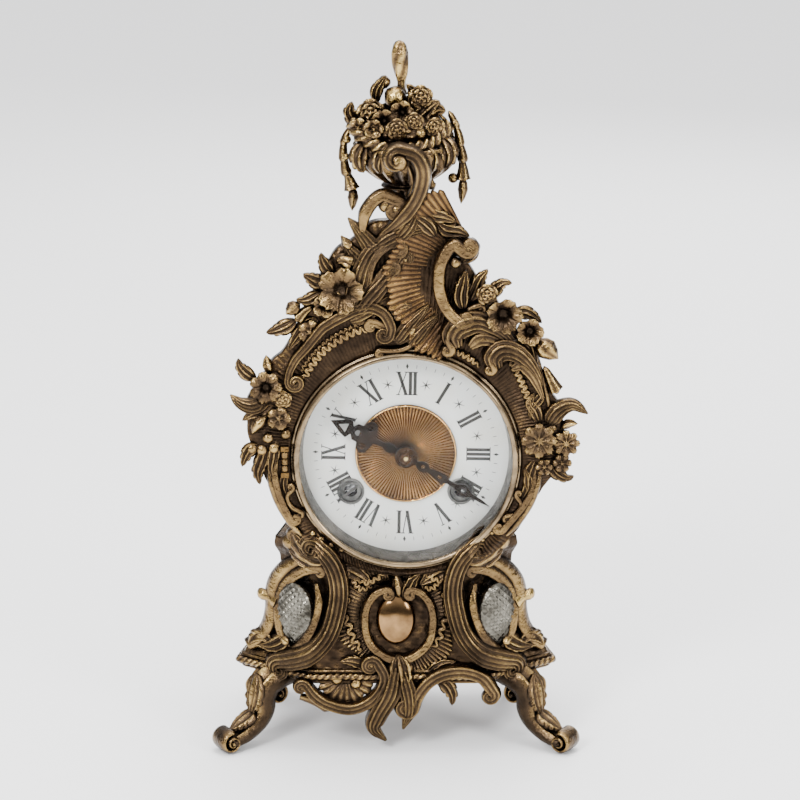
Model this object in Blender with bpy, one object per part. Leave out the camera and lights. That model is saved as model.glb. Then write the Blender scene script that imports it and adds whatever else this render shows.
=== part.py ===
"""Rococo mantel clock in cast antique brass, with an eight-day striking movement.

Metres, +Z up, the dial faces -Y, and the origin is on the floor under the middle of the clock's box.
Everything round the dial is placed from the dial's centre, and everything in the movement
from its own plates, arbors and wheel counts.
"""

import math

import bmesh
import bpy
from mathutils import Vector

# ---------------------------------------------------------------- driving dimensions
GAP = 0.0003                # clearance between pieces that touch
RUN = 0.0008                # clearance round pieces that move
INSET = 0.0002              # how far a web stands in from the edge of what it joins

DIAL_X = 0.004              # the drum stands a little to the right of the base
DIAL_HEIGHT = 0.178         # dial centre above the floor
DIAL_FRONT = -0.0320        # front face of the dial
BEZEL_STANDOFF = 0.0020     # from the dial's front to the bezel's back
MOTION_ROOM = 0.0100        # from the dial's front to the front plate, for the motion work
DIAL_THICK = 0.0010
SIGHT_RADIUS = 0.0595       # the part of the dial that shows
BEZEL_WIDTH = 0.0060        # from the sight edge to the bezel's outside
BEZEL_DEPTH = 0.0160
BEZEL_PROUD = 0.0060        # how far the bezel stands out past the casting
GLASS_THICK = 0.0018
GLASS_RISE = 0.0080         # height of the glass dome

DRUM_MARGIN = 0.0105        # from the bezel's outside to the drum's outside
DRUM_WALL = 0.0022
REAR_ROOM = 0.0280          # from the back plate to the drum's back, for the pendulum and the bell
CASTING_THICK = 0.0083
CASTING_LIP = 0.0030        # how far the casting stands out past the drum where the base meets it

PLINTH_BOTTOM = 0.0440
PLINTH_THICK = 0.0055
PLINTH_HALF_WIDTH = 0.0930
PLINTH_HALF_DEPTH = 0.0500
PLINTH_WALL = 0.0160
PLINTH_CHAMFER = (0.0420, 0.0290)   # how much the plinth's front corners are cut off, in x and y
REAR_SHARE = 0.78           # the base's width behind, as a share of its width at the sides
BASE_X = -0.0018            # middle of the base
CRADLE_DROP = 0.0515        # from the dial's centre down to the top of the base
CRADLE_SHARE = 0.9178       # half width of the base's top, as a share of the radius of the drum it holds
BASE_WALL = 0.0045

FOOT_OUT = 0.1050           # from the middle of the base to a front toe's end
REAR_FOOT_OUT = 0.0830      # and to a rear toe's end, hidden behind the front legs
FOOT_DEEP = 0.0590          # from the middle of the base to the toes' front or rear corners
FOOT_THICK = 0.0130
FOOT_ROOT = (0.0300, 0.0245)    # how far a foot starts inside the plinth's edge, in x and y
FOOT_LEAN = {"front": 0.62, "rear": 1.30}   # how much of a foot's way out is along Y, for each part along X
TOE_RADIUS = 0.0075

CREST_HEIGHT = 0.0800       # from the drum's top to the top of the front casting
URN_SET_BACK = 0.0180       # from the casting's front to the urn's axis
URN_RADIUS = 0.0300
URN_HEIGHT = 0.0240
BOUQUET_HEIGHT = 0.0334
BUD_HEIGHT = 0.0280
DROP_LENGTH = 0.0460

HINGE_KNUCKLE = 0.0022      # radius of a hinge's barrel
HINGE_PIN = 0.0011
HINGE_HALF = 0.0060         # half the length of its middle knuckle
HINGE_LUG = 0.0030          # length of each of its end lugs

# ---------------------------------------------------------------- movement
PLATE_THICK = 0.0020
PLATE_SPACE = 0.0340        # between the two plates
PLATE_HALF_WIDTH = 0.0490
PLATE_TOP = 0.0540
PLATE_BOTTOM = 0.0460
PILLAR_RADIUS = 0.0030
PILLARS = {
    "top_left": (-0.0410, 0.0380),
    "top_right": (0.0410, 0.0380),
    "bottom_left": (-0.0130, -0.0410),
    "bottom_right": (0.0130, -0.0410),
}
ARBOR = 0.0012
PIVOT_HOLE = ARBOR + GAP
WHEEL_THICK = 0.0014
PINION_LONG = 0.0036

PINION_LEAVES = 6
GREAT_TEETH = 36
INTERMEDIATE_TEETH = 36
CENTRE_TEETH = 36
THIRD_TEETH = 36
FOURTH_TEETH = 34
ESCAPE_TEETH = 30
WARNING_TEETH = 34
CANNON_LEAVES = 12
MINUTE_TEETH = 36
MINUTE_LEAVES = 10
HOUR_TEETH = 40

GREAT_MODULE = 0.00116
INTERMEDIATE_MODULE = 0.00105
CENTRE_MODULE = 0.00093
THIRD_MODULE = 0.00070
FOURTH_MODULE = 0.00069
WARNING_MODULE = 0.000575
CANNON_MODULE = 0.00060

WINDING_X = 0.0320          # winding squares, from the dial's centre
WINDING_Z = -0.0230
THIRD_ANGLE = 62.0          # where the third arbor stands round the centre, from +X
PIN_ANGLE = 110.0           # where the pin wheel stands round the intermediate arbor
WARNING_ANGLE = 80.0
FLY_ANGLE = 20.0
BARREL_RADIUS = 0.0195
BARREL_ROOM = 0.0150        # length between the plates that a barrel leaves free
SPRING_TURNS = 3.5
SPRING_STRIP = 0.0012
SQUARE_HALF = 0.0021
SQUARE_RECESS = 0.0050      # the winding squares end this far behind the dial's front
RATCHET_RADIUS = 0.0090
RATCHET_TEETH = 18

ESCAPE_HEIGHT = 0.0310      # escape arbor above the dial's centre
ESCAPE_RADIUS = 0.0085
ANCHOR_RISE = 0.0130        # anchor arbor above the escape arbor
ROD_THICK = 0.0020
BOB_RADIUS = 0.0130
BOB_THICK = 0.0070
GRAVITY = 9.81

BELL_RADIUS = 0.0300
BELL_DEPTH = 0.0140
BELL_WALL = 0.0016
BELL_Z = 0.0040
BELL_STANDOFF = 0.0100      # from the back plate to the bell's mouth
HAMMER_AT = (-0.0440, 0.0030)
HAMMER_ARM = 0.0232
HAMMER_LEAN = 50.0          # the arm's angle above +X

# ---------------------------------------------------------------- hands and dial
HOUR_SHORT = 0.0115         # how far the hour hand ends inside the part of the dial that shows
MINUTE_SHORT = 0.0025       # and the minute hand
HOUR_ANGLE = 296.0          # clockwise from twelve, seen from the front
MINUTE_ANGLE = 122.0
HAND_THICK = 0.0010
NUT_RADIUS = 0.0062
CANNON_PIPE = 0.0023
HOUR_PIPE = 0.0034
PIPE_WALL = 0.0008
CENTRE_DISC_RADIUS = 0.0295
GROMMET_RADIUS = 0.0079
GROMMET_BORE = 0.0063

# ---------------------------------------------------------------- sizes that follow
BASE_TOP = DIAL_HEIGHT - CRADLE_DROP
BEZEL_RADIUS = SIGHT_RADIUS + BEZEL_WIDTH
BEZEL_BACK = DIAL_FRONT - BEZEL_STANDOFF
BEZEL_FRONT = BEZEL_BACK - BEZEL_DEPTH
CASTING_FRONT = BEZEL_FRONT + BEZEL_PROUD
CASTING_HOLE = BEZEL_RADIUS + RUN
DRUM_RADIUS = BEZEL_RADIUS + DRUM_MARGIN
DRUM_INSIDE = DRUM_RADIUS - DRUM_WALL
CRADLE_HALF_WIDTH = DRUM_RADIUS * CRADLE_SHARE
GLASS_RADIUS = BEZEL_RADIUS - 0.0028
DIAL_BACK = DIAL_FRONT + DIAL_THICK
DIAL_RADIUS = SIGHT_RADIUS + 0.0025
HOUR_LENGTH = SIGHT_RADIUS - HOUR_SHORT
MINUTE_LENGTH = SIGHT_RADIUS - MINUTE_SHORT
PLATE_FRONT = DIAL_FRONT + MOTION_ROOM
PLATE_INNER = PLATE_FRONT + PLATE_THICK
BACK_INNER = PLATE_INNER + PLATE_SPACE
BACK_OUTER = BACK_INNER + PLATE_THICK
DRUM_BACK = BACK_OUTER + REAR_ROOM
BELL_MOUTH = BACK_OUTER + BELL_STANDOFF
BARREL_LONG = PLATE_SPACE - BARREL_ROOM
ANCHOR_AT = (0.0, ESCAPE_HEIGHT + ANCHOR_RISE)
TRAIN_RATIO = (CENTRE_TEETH * THIRD_TEETH * FOURTH_TEETH) / PINION_LEAVES**3
SWING_TIME = 3600.0 / (TRAIN_RATIO * ESCAPE_TEETH)
PENDULUM_LENGTH = GRAVITY * (SWING_TIME / (2 * math.pi)) ** 2
ROD_FRONT = BACK_OUTER + 0.0043
ROD_BACK = ROD_FRONT + ROD_THICK
DOOR_FRONT = DRUM_BACK + GAP
DOOR_THICK = 0.0016
URN_Y = CASTING_FRONT + URN_SET_BACK
BEZEL_PIN_Y = CASTING_FRONT - HINGE_KNUCKLE - 0.0016    # axis of the bezel's hinge

# depths of the wheels, each the front face of its wheel
GREAT_Y = PLATE_INNER + BARREL_LONG + 0.0030
INTERMEDIATE_Y = BACK_INNER - 0.0060
STRIKE_INTERMEDIATE_Y = INTERMEDIATE_Y - 0.0034     # clear of the centre pinion
CENTRE_Y = PLATE_INNER + 0.0080
THIRD_Y = PLATE_INNER + 0.0140
FOURTH_Y = PLATE_INNER + 0.0200
ESCAPE_Y = PLATE_INNER + 0.0260
CANNON_Y = PLATE_FRONT - 0.0027
HOUR_Y = PLATE_FRONT - 0.0062

FINISHES = {                # colour, metallic, roughness
    "brass": ((0.42, 0.27, 0.09), 1.0, 0.36),
    "dark_brass": ((0.20, 0.12, 0.05), 1.0, 0.50),
    "bright_brass": ((0.62, 0.45, 0.17), 1.0, 0.25),
    "copper_gilt": ((0.40, 0.22, 0.10), 1.0, 0.34),
    "enamel": ((0.84, 0.84, 0.80), 0.0, 0.25),
    "glass": ((0.90, 0.94, 0.93), 0.0, 0.03),
    "blued_steel": ((0.02, 0.018, 0.018), 0.9, 0.40),
    "steel": ((0.45, 0.45, 0.46), 1.0, 0.35),
    "nickel": ((0.52, 0.50, 0.47), 1.0, 0.22),
}


# ---------------------------------------------------------------- outlines
def circle(radius, count=16, centre=(0.0, 0.0), start=0.0):
    """Points round a circle."""
    turn = [start + 2 * math.pi * k / count for k in range(count)]
    return [(centre[0] + radius * math.cos(a), centre[1] + radius * math.sin(a)) for a in turn]


def polar(radius, degrees):
    """The point at this distance and angle from +X."""
    return (radius * math.cos(math.radians(degrees)), radius * math.sin(math.radians(degrees)))


def shifted(point, step):
    """A point moved by a step."""
    return (point[0] + step[0], point[1] + step[1])


def bearing(start, end):
    """The angle in radians from one point to another."""
    return math.atan2(end[1] - start[1], end[0] - start[0])


def meet(a, radius_a, b, radius_b, side):
    """Where two circles cross: side 1 is left of the line from a to b, and -1 is right of it."""
    span = math.hypot(b[0] - a[0], b[1] - a[1])
    along = (radius_a**2 - radius_b**2 + span**2) / (2 * span)
    off = math.sqrt(max(radius_a**2 - along**2, 0.0)) * side
    ux, uz = (b[0] - a[0]) / span, (b[1] - a[1]) / span
    return (a[0] + along * ux - off * uz, a[1] + along * uz + off * ux)


def wheel_outline(teeth, module, toward=0.0):
    """A clock wheel with pointed teeth, one of them facing the angle given."""
    root, tip = module * (teeth / 2 - 1.15), module * (teeth / 2 + 0.75)
    pitch = 2 * math.pi / teeth
    points = []
    for k in range(teeth):
        middle = toward + k * pitch
        for step, radius in ((-0.30, root), (0.0, tip), (0.30, root)):
            angle = middle + step * pitch
            points.append((radius * math.cos(angle), radius * math.sin(angle)))
    return points


def pinion_outline(leaves, module, toward=0.0):
    """A pinion with square-ended leaves and a gap facing the angle given."""
    root, tip = module * (leaves / 2 - 1.15), module * (leaves / 2 + 0.60)
    pitch = 2 * math.pi / leaves
    points = []
    for k in range(leaves):
        middle = toward + (k + 0.5) * pitch
        for step, radius in ((-0.19, root), (-0.10, tip), (0.10, tip), (0.19, root)):
            angle = middle + step * pitch
            points.append((radius * math.cos(angle), radius * math.sin(angle)))
    return points


def saw_outline(teeth, root, tip, lean):
    """Pointed teeth that all lean one way, as on a ratchet or an escape wheel."""
    pitch = 2 * math.pi / teeth
    points = []
    for k in range(teeth):
        for step, radius in ((0.0, root), (lean, tip), (0.42, root)):
            angle = (k + step) * pitch
            points.append((radius * math.cos(angle), radius * math.sin(angle)))
    return points


def crossings(inner, outer, arms=4, share=0.74):
    """The openings between a wheel's arms."""
    holes = []
    for k in range(arms):
        middle = 2 * math.pi * (k + 0.5) / arms
        half = math.pi / arms * share
        sides = [(outer, -half), (outer, 0.0), (outer, half), (inner, half * 0.55), (inner, -half * 0.55)]
        holes.append([(r * math.cos(middle + a), r * math.sin(middle + a)) for r, a in sides])
    return holes


def capsule(start, end, radius, count=12):
    """A bar with round ends from one point to another."""
    angle = bearing(start, end)
    points = []
    for centre, turn in ((end, angle - math.pi / 2), (start, angle + math.pi / 2)):
        for k in range(count // 2 + 1):
            a = turn + math.pi * k / (count // 2)
            points.append((centre[0] + radius * math.cos(a), centre[1] + radius * math.sin(a)))
    return points


def smooth_loop(points, parts=3):
    """A closed Catmull-Rom curve through the points."""
    out = []
    count = len(points)
    for k in range(count):
        a, b, c, d = (Vector(points[(k + i) % count]) for i in (-1, 0, 1, 2))
        for s in range(parts):
            t = s / parts
            out.append(tuple(0.5 * (2 * b + (c - a) * t + (2 * a - 5 * b + 4 * c - d) * t**2
                                    + (3 * b - a - 3 * c + d) * t**3)))
    return out


def smooth_line(points, parts=4):
    """An open Catmull-Rom curve through the points."""
    ends = [2 * Vector(points[0]) - Vector(points[1])] + [Vector(p) for p in points]
    ends.append(2 * Vector(points[-1]) - Vector(points[-2]))
    out = []
    for k in range(1, len(ends) - 2):
        a, b, c, d = ends[k - 1:k + 3]
        for s in range(parts):
            t = s / parts
            out.append(0.5 * (2 * b + (c - a) * t + (2 * a - 5 * b + 4 * c - d) * t**2
                              + (3 * b - a - 3 * c + d) * t**3))
    return out + [ends[-2]]


# ---------------------------------------------------------------- solids
def finish_material(name, finish):
    """A Principled material of one of the finishes."""
    colour, metallic, roughness = FINISHES[finish]
    material = bpy.data.materials.new(f"{name}_{finish}")
    material.use_nodes = True
    shader = material.node_tree.nodes["Principled BSDF"]
    shader.inputs["Base Color"].default_value = (*colour, 1.0)
    shader.inputs["Metallic"].default_value = metallic
    shader.inputs["Roughness"].default_value = roughness
    material.diffuse_color = (*colour, 1.0)
    return material


def new_object(name, bm, finish, parent=None, at=(0.0, 0.0, 0.0), turn=(0.0, 0.0, 0.0)):
    """Turns a bmesh into a named object in its place."""
    bmesh.ops.recalc_face_normals(bm, faces=bm.faces)
    mesh = bpy.data.meshes.new(name)
    bm.to_mesh(mesh)
    bm.free()
    mesh.shade_smooth()
    mesh.set_sharp_from_angle(angle=math.radians(32))
    mesh.materials.append(finish_material(name, finish))
    piece = bpy.data.objects.new(name, mesh)
    bpy.context.collection.objects.link(piece)
    piece.parent = parent
    piece.location = at
    piece.rotation_euler = turn
    return piece


def empty(name, at, parent=None):
    """A guide that other pieces hang on."""
    guide = bpy.data.objects.new(name, None)
    bpy.context.collection.objects.link(guide)
    guide.parent = parent
    guide.location = at
    return guide


def columns(name, parts, finish, axis="Y", **place):
    """A solid of straight or tapering columns, each a chain of (depth, outline) along an axis.

    Where columns begin or end at one depth, the flat area between their outlines is filled, so an
    outline inside another is a boss on it or a hole in it. Outlines in a chain have equal counts.
    """
    bm = bmesh.new()
    flats = {}
    for chain in parts:
        rings = []
        for depth, outline in chain:
            if axis == "Y":
                rings.append([bm.verts.new((u, depth, v)) for u, v in outline])
            else:
                rings.append([bm.verts.new((u, v, depth)) for u, v in outline])
        count = len(rings[0])
        for low, high in zip(rings, rings[1:]):
            for k in range(count):
                bm.faces.new((low[k], low[(k + 1) % count], high[(k + 1) % count], high[k]))
        for ring, (depth, _) in ((rings[0], chain[0]), (rings[-1], chain[-1])):
            edges = [bm.edges.get((ring[k], ring[(k + 1) % count])) for k in range(count)]
            flats.setdefault(round(depth, 7), []).extend(edges)
    normal = (0, 1, 0) if axis == "Y" else (0, 0, 1)
    for edges in flats.values():
        bmesh.ops.triangle_fill(bm, edges=edges, use_beauty=True, normal=normal)
    return new_object(name, bm, finish, **place)


def column(outline, start, end):
    """One straight column."""
    return [(start, outline), (end, outline)]


def turned(name, profile, finish, axis="Y", steps=32, **place):
    """A closed profile of (radius, along) turned round an axis; a radius of 0 is a pole."""
    bm = bmesh.new()
    rings = []
    for radius, along in profile:
        count = 1 if radius < 1e-9 else steps
        ring = []
        for k in range(count):
            a = 2 * math.pi * k / steps
            u, v = radius * math.cos(a), radius * math.sin(a)
            ring.append(bm.verts.new((u, along, v) if axis == "Y" else (u, v, along)))
        rings.append(ring)
    closed = len(rings[0]) > 1 and len(rings[-1]) > 1
    pairs = list(zip(rings, rings[1:])) + ([(rings[-1], rings[0])] if closed else [])
    for low, high in pairs:
        for k in range(steps):
            corners = [low[k % len(low)], low[(k + 1) % len(low)],
                       high[(k + 1) % len(high)], high[k % len(high)]]
            face = [v for i, v in enumerate(corners) if v not in corners[:i]]
            if len(face) > 2:
                bm.faces.new(face)
    return new_object(name, bm, finish, **place)


def swept(name, path, widths, finish, sides=8, **place):
    """A tube along a smooth path; widths are (radius, radius) at each path point."""
    bm = bmesh.new()
    line = smooth_line(path)
    sizes = smooth_line([(a, b, 0.0) for a, b in widths])
    side = (line[1] - line[0]).orthogonal().normalized()
    rings = []
    for k, point in enumerate(line):
        ahead = (line[min(k + 1, len(line) - 1)] - line[max(k - 1, 0)]).normalized()
        side = (side - ahead * side.dot(ahead)).normalized()
        up = ahead.cross(side)
        ring = []
        for s in range(sides):
            a = 2 * math.pi * s / sides
            ring.append(bm.verts.new(point + side * math.cos(a) * sizes[k].x + up * math.sin(a) * sizes[k].y))
        rings.append(ring)
    for low, high in zip(rings, rings[1:]):
        for s in range(sides):
            bm.faces.new((low[s], low[(s + 1) % sides], high[(s + 1) % sides], high[s]))
    bm.faces.new(rings[0])
    bm.faces.new(rings[-1])
    return new_object(name, bm, finish, **place)


def boolean(piece, other, operation):
    """Joins or cuts a piece with another, which becomes a hidden guide."""
    other.hide_render = True
    other.display_type = "WIRE"
    step = piece.modifiers.new(f"{operation.lower()}_{other.name}", "BOOLEAN")
    step.operation = operation
    step.solver = "EXACT"
    step.object = other


# ---------------------------------------------------------------- case
def plinth_plan(width, depth, scale=1.0):
    """The plinth seen from above, with its two front corners cut off."""
    cut_x, cut_y = PLINTH_CHAMFER[0] * scale, PLINTH_CHAMFER[1] * scale
    rear = width * REAR_SHARE
    return [(-rear, depth), (-width, -depth + cut_y), (-width + cut_x, -depth),
            (width - cut_x, -depth), (width, -depth + cut_y), (rear, depth)]


def build_base(base):
    """The plinth with its moulded ledge, and the hollow pedestal that holds the drum."""
    inner = plinth_plan(PLINTH_HALF_WIDTH - PLINTH_WALL, PLINTH_HALF_DEPTH - PLINTH_WALL / 2, 0.9)
    top = PLINTH_BOTTOM + PLINTH_THICK
    edge = 0.0014
    ledge = [(PLINTH_BOTTOM, plinth_plan(PLINTH_HALF_WIDTH - edge, PLINTH_HALF_DEPTH - edge)),
             (PLINTH_BOTTOM + PLINTH_THICK / 2, plinth_plan(PLINTH_HALF_WIDTH, PLINTH_HALF_DEPTH)),
             (top, plinth_plan(PLINTH_HALF_WIDTH - edge, PLINTH_HALF_DEPTH - edge))]
    columns("plinth_ledge", [ledge, column(inner, PLINTH_BOTTOM, top)], "brass", "Z", parent=base)

    drum_bottom = DIAL_HEIGHT - DRUM_RADIUS
    start = top + GAP
    low, top_width = PLINTH_HALF_WIDTH, CRADLE_HALF_WIDTH
    spans = ((0.0, 0.940 * low, 0.0030), (0.16, 0.900 * low, 0.0040), (0.36, 0.800 * low, 0.0060),
             (0.62, 0.953 * top_width, 0.0080), (0.84, 0.967 * top_width, 0.0080),
             (0.93, 1.013 * top_width, 0.0060), (1.0, top_width, 0.0065))
    walls = []
    for share, wide, inset in spans:
        height = start + (BASE_TOP - start) * share
        walls.append((height, plinth_plan(wide, PLINTH_HALF_DEPTH - inset, 1.0 - 0.45 * share)))
    ceiling = min(drum_bottom - GAP - BASE_WALL, BASE_TOP - BASE_WALL)
    cavity = []
    for share in (0.0, 0.4, 1.0):
        height = start + (ceiling - start) * share
        wide = 0.94 * low * (1 - share) + 0.96 * top_width * share - 2 * BASE_WALL
        deep = PLINTH_HALF_DEPTH - 0.0080 - BASE_WALL
        cavity.append((height, plinth_plan(wide, deep, 0.92 - 0.3 * share)))
    pedestal = columns("base_casting", [walls, cavity], "brass", "Z", parent=base)
    end = 1.2 * PLINTH_HALF_DEPTH
    step = CASTING_FRONT + CASTING_THICK + GAP / 2
    wide = DRUM_RADIUS + CASTING_LIP + RUN
    bed = [(0.0, -end), (wide, -end), (wide, step), (DRUM_RADIUS + GAP, step), (DRUM_RADIUS + GAP, end),
           (0.0, end)]
    saddle = turned("drum_saddle", bed, "brass", steps=64, parent=base,
                    at=(DIAL_X - BASE_X, 0.0, DIAL_HEIGHT))
    boolean(pedestal, saddle, "DIFFERENCE")


def foot_outline():
    """One scroll foot from the side: u runs outwards to the toe and v is the height."""
    reach = math.hypot(FOOT_OUT - PLINTH_HALF_WIDTH + FOOT_ROOT[0],
                       FOOT_DEEP - PLINTH_HALF_DEPTH + FOOT_ROOT[1])
    top = PLINTH_BOTTOM - GAP
    toe = (reach - TOE_RADIUS, TOE_RADIUS)
    curl = [shifted(toe, polar(TOE_RADIUS, a)) for a in range(75, -90, -30)]
    pad = [(toe[0], 0.0), (toe[0] - 0.012, 0.0)]
    under = [(reach * 0.48, top * 0.16), (reach * 0.26, top * 0.42), (reach * 0.13, top * 0.66), (0.0, top)]
    over = [(reach * 0.52, top), (reach * 0.60, top * 0.80), (reach * 0.56, top * 0.60),
            (reach * 0.62, top * 0.42), (reach * 0.74, top * 0.33)]
    return over + curl + pad + under


def build_feet(base):
    """Four scroll feet under the plinth's corners, each turned outwards."""
    outline = foot_outline()
    reach = max(u for u, _ in outline)
    for front, deep, out in (("front", -1, FOOT_OUT), ("rear", 1, REAR_FOOT_OUT)):
        for side, wide in (("left", -1), ("right", 1)):
            turn = math.atan2(deep * FOOT_LEAN[front], wide)
            along, across = abs(math.cos(turn)), abs(math.sin(turn))
            start = Vector((wide * (out - reach * along),
                            deep * (FOOT_DEEP - FOOT_THICK / 2 * along - reach * across), 0.0))
            columns(f"foot_{front}_{side}",
                    [[(-FOOT_THICK / 2, outline), (FOOT_THICK / 2, outline)]], "brass",
                    parent=base, at=start, turn=(0.0, 0.0, turn))


def casting_outline():
    """The ragged edge of flowers, leaves and shell round the drum, from the dial's centre."""
    rim = DRUM_RADIUS
    crest = DRUM_RADIUS + CREST_HEIGHT
    around = [  # angle from +X in degrees, and how far the ornament stands out past the drum
        (-140, CASTING_LIP), (-154, CASTING_LIP), (-167, 0.006), (-178, 0.013), (170, 0.027), (160, 0.035),
        (150, 0.030), (137, 0.031), (127, 0.042), (117, 0.052), (109, 0.063), (102, 0.070)]
    left = [polar(rim + out, a) for a, out in around]
    shoulder = 0.0110
    level = crest - shoulder / 8    # the smooth curve rises an eighth of the shoulder between these points
    neck = [(-0.0190, level - shoulder), (-0.0110, level), (0.0110, level), (0.0180, level - shoulder)]
    down = [(80, 0.070), (74, 0.062), (67, 0.044), (57, 0.039), (45, 0.028), (33, 0.024), (20, 0.037),
            (5, 0.024), (-6, 0.014), (-18, 0.005), (-28, CASTING_LIP), (-42, CASTING_LIP)]
    right = [polar(rim + out, a) for a, out in down]
    foot = [polar(CASTING_HOLE + 0.0035, a) for a in (-60, -75, -90, -105, -120)]
    return smooth_loop(left + neck + right + foot, 2)


def build_drum(dial):
    """The drum, the ornamental front round it and the two hinges of the case."""
    front = CASTING_FRONT + CASTING_THICK + GAP
    lip = 0.0022
    profile = [(DRUM_RADIUS, front), (DRUM_RADIUS, DRUM_BACK), (DRUM_INSIDE, DRUM_BACK),
               (DRUM_INSIDE, front + lip), (CASTING_HOLE, front + lip), (CASTING_HOLE, front)]
    turned("drum_body", profile, "dark_brass", steps=44, parent=dial)
    back = CASTING_FRONT + CASTING_THICK
    raised = CASTING_FRONT + 0.0040
    band = [column(circle(CASTING_HOLE, 48), CASTING_FRONT, back),
            column(circle(CASTING_HOLE + 0.0060, 48), CASTING_FRONT, raised),
            column(casting_outline(), raised, back)]
    columns("front_casting", band, "brass", parent=dial)


def build_urn(dial):
    """The urn on the crest with its flowers, its bud and two strings of husks."""
    foot = DRUM_RADIUS + CREST_HEIGHT + GAP
    r, h = URN_RADIUS, URN_HEIGHT
    bowl = [(0.0, foot), (0.36 * r, foot), (0.30 * r, foot + 0.30 * h), (0.62 * r, foot + 0.42 * h),
            (0.90 * r, foot + 0.66 * h), (r, foot + h), (0.90 * r, foot + h), (0.74 * r, foot + 0.70 * h),
            (0.0, foot + 0.62 * h)]
    turned("urn_bowl", bowl, "brass", "Z", 22, parent=dial, at=(0.0, URN_Y, 0.0))
    low = foot + 0.62 * h + GAP
    rim = foot + h + GAP
    top = rim + BOUQUET_HEIGHT
    flowers = [(0.0, low), (0.70 * r, foot + 0.70 * h + 2 * GAP), (0.86 * r, rim + GAP),
               (1.02 * r, rim + 0.004),
               (1.04 * r, rim + 0.30 * BOUQUET_HEIGHT), (0.80 * r, rim + 0.66 * BOUQUET_HEIGHT),
               (0.36 * r, top - 0.004), (0.0052, top), (0.0030, top + 0.10 * BUD_HEIGHT),
               (0.0048, top + 0.35 * BUD_HEIGHT), (0.0036, top + 0.72 * BUD_HEIGHT), (0.0, top + BUD_HEIGHT)]
    turned("bouquet_and_bud", flowers, "brass", "Z", 22, parent=dial, at=(0.0, URN_Y, 0.0))
    for side, wide, drop in (("left", -1, 1.0), ("right", 1, 0.88)):
        x = wide * (r + 0.0048)
        start = foot + h + 0.006
        length = DROP_LENGTH * drop
        path = [(x, URN_Y, start), (x + wide * 0.0022, URN_Y, start - 0.35 * length),
                (x + wide * 0.0008, URN_Y, start - 0.7 * length), (x + wide * 0.0016, URN_Y, start - length)]
        widths = [(0.0024, 0.0024), (0.0032, 0.0030), (0.0026, 0.0026), (0.0030, 0.0030)]
        swept(f"husk_drop_{side}", path, widths, "brass", parent=dial)


# ---------------------------------------------------------------- bezel, glass and back door
def hinge_parts(lug, leaf):
    """A fixed leaf with two lugs and the pin between them, along the hinge's axis."""
    gap = HINGE_HALF + GAP
    end = gap + HINGE_LUG
    return [column(lug, -end, -gap), column(leaf, -gap, gap), column(circle(HINGE_PIN, 10), -gap, gap),
            column(lug, gap, end)]


def add_knuckle(piece, name, arm, finish, hinge):
    """Joins a hinge's middle knuckle to a moving piece by an arm, an outline seen along the axis."""
    barrel = [column(circle(radius, 12), -HINGE_HALF, HINGE_HALF) for radius in (HINGE_KNUCKLE,
                                                                                 HINGE_PIN + GAP)]
    tab = columns(f"{name}_knuckle", barrel, finish, "Z", parent=hinge)
    link = columns(f"{name}_link", [column(arm, -HINGE_HALF, HINGE_HALF)], finish, "Z", parent=hinge)
    boolean(tab, link, "UNION")
    boolean(piece, tab, "UNION")


def build_bezel(dial):
    """The hinged ring with its domed glass, and the sloping ring behind the glass."""
    knuckle = HINGE_KNUCKLE
    axis = (-(BEZEL_RADIUS + 0.0040), BEZEL_PIN_Y, 0.0)
    hinge = empty("bezel_axis", axis, dial)
    back = (-axis[0], -axis[1], 0.0)
    r = BEZEL_RADIUS
    glass_back = BEZEL_FRONT + 0.0048
    glass_front = glass_back - GLASS_THICK
    seat = GLASS_RADIUS + GAP
    profile = [(r - 0.0008, BEZEL_BACK), (r, BEZEL_BACK - 0.0008), (r, BEZEL_FRONT + 0.0050),
               (r - 0.0010, BEZEL_FRONT + 0.0042), (r - 0.0008, BEZEL_FRONT + 0.0022),
               (r - 0.0018, BEZEL_FRONT + 0.0004), (r - 0.0028, BEZEL_FRONT),
               (r - 0.0040, BEZEL_FRONT + 0.0010),
               (r - 0.0040, glass_front - GAP), (seat, glass_front - GAP), (seat, BEZEL_BACK)]
    ring = turned("bezel_ring", profile, "bright_brass", steps=48, parent=hinge, at=back)
    near, far = HINGE_PIN + GAP + 0.0003, -axis[0] - (BEZEL_RADIUS - 0.0015)
    half = 0.0008
    add_knuckle(ring, "bezel", [(near, -half), (far, -half), (far, half), (near, half)], "bright_brass",
                hinge)
    back_of_leaf = CASTING_FRONT - GAP - BEZEL_PIN_Y
    side = knuckle - INSET
    lug = [(-knuckle, -knuckle), (knuckle, -knuckle), (knuckle, back_of_leaf + INSET),
           (-knuckle, back_of_leaf + INSET)]
    leaf = [(-side, knuckle + INSET), (side, knuckle + INSET), (side, back_of_leaf), (-side, back_of_leaf)]
    columns("bezel_hinge", hinge_parts(lug, leaf), "bright_brass", "Z", parent=hinge)

    edge = GLASS_RADIUS
    dome = [(edge * k / 4, GLASS_RISE * (1 - (k / 4) ** 2)) for k in range(5)]
    outside = [(u, glass_front - rise) for u, rise in reversed(dome)]
    inside = [(u, glass_back - rise) for u, rise in dome]
    turned("bezel_glass", inside + outside, "glass", steps=36, parent=hinge, at=back)
    slope_back = DIAL_FRONT - 0.0008
    slope = [(edge, glass_back + GAP), (edge, slope_back), (SIGHT_RADIUS, slope_back),
             (SIGHT_RADIUS, slope_back - 0.0006), (edge - 0.0012, glass_back + GAP)]
    turned("sight_ring", slope, "nickel", steps=40, parent=hinge, at=back)


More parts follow.
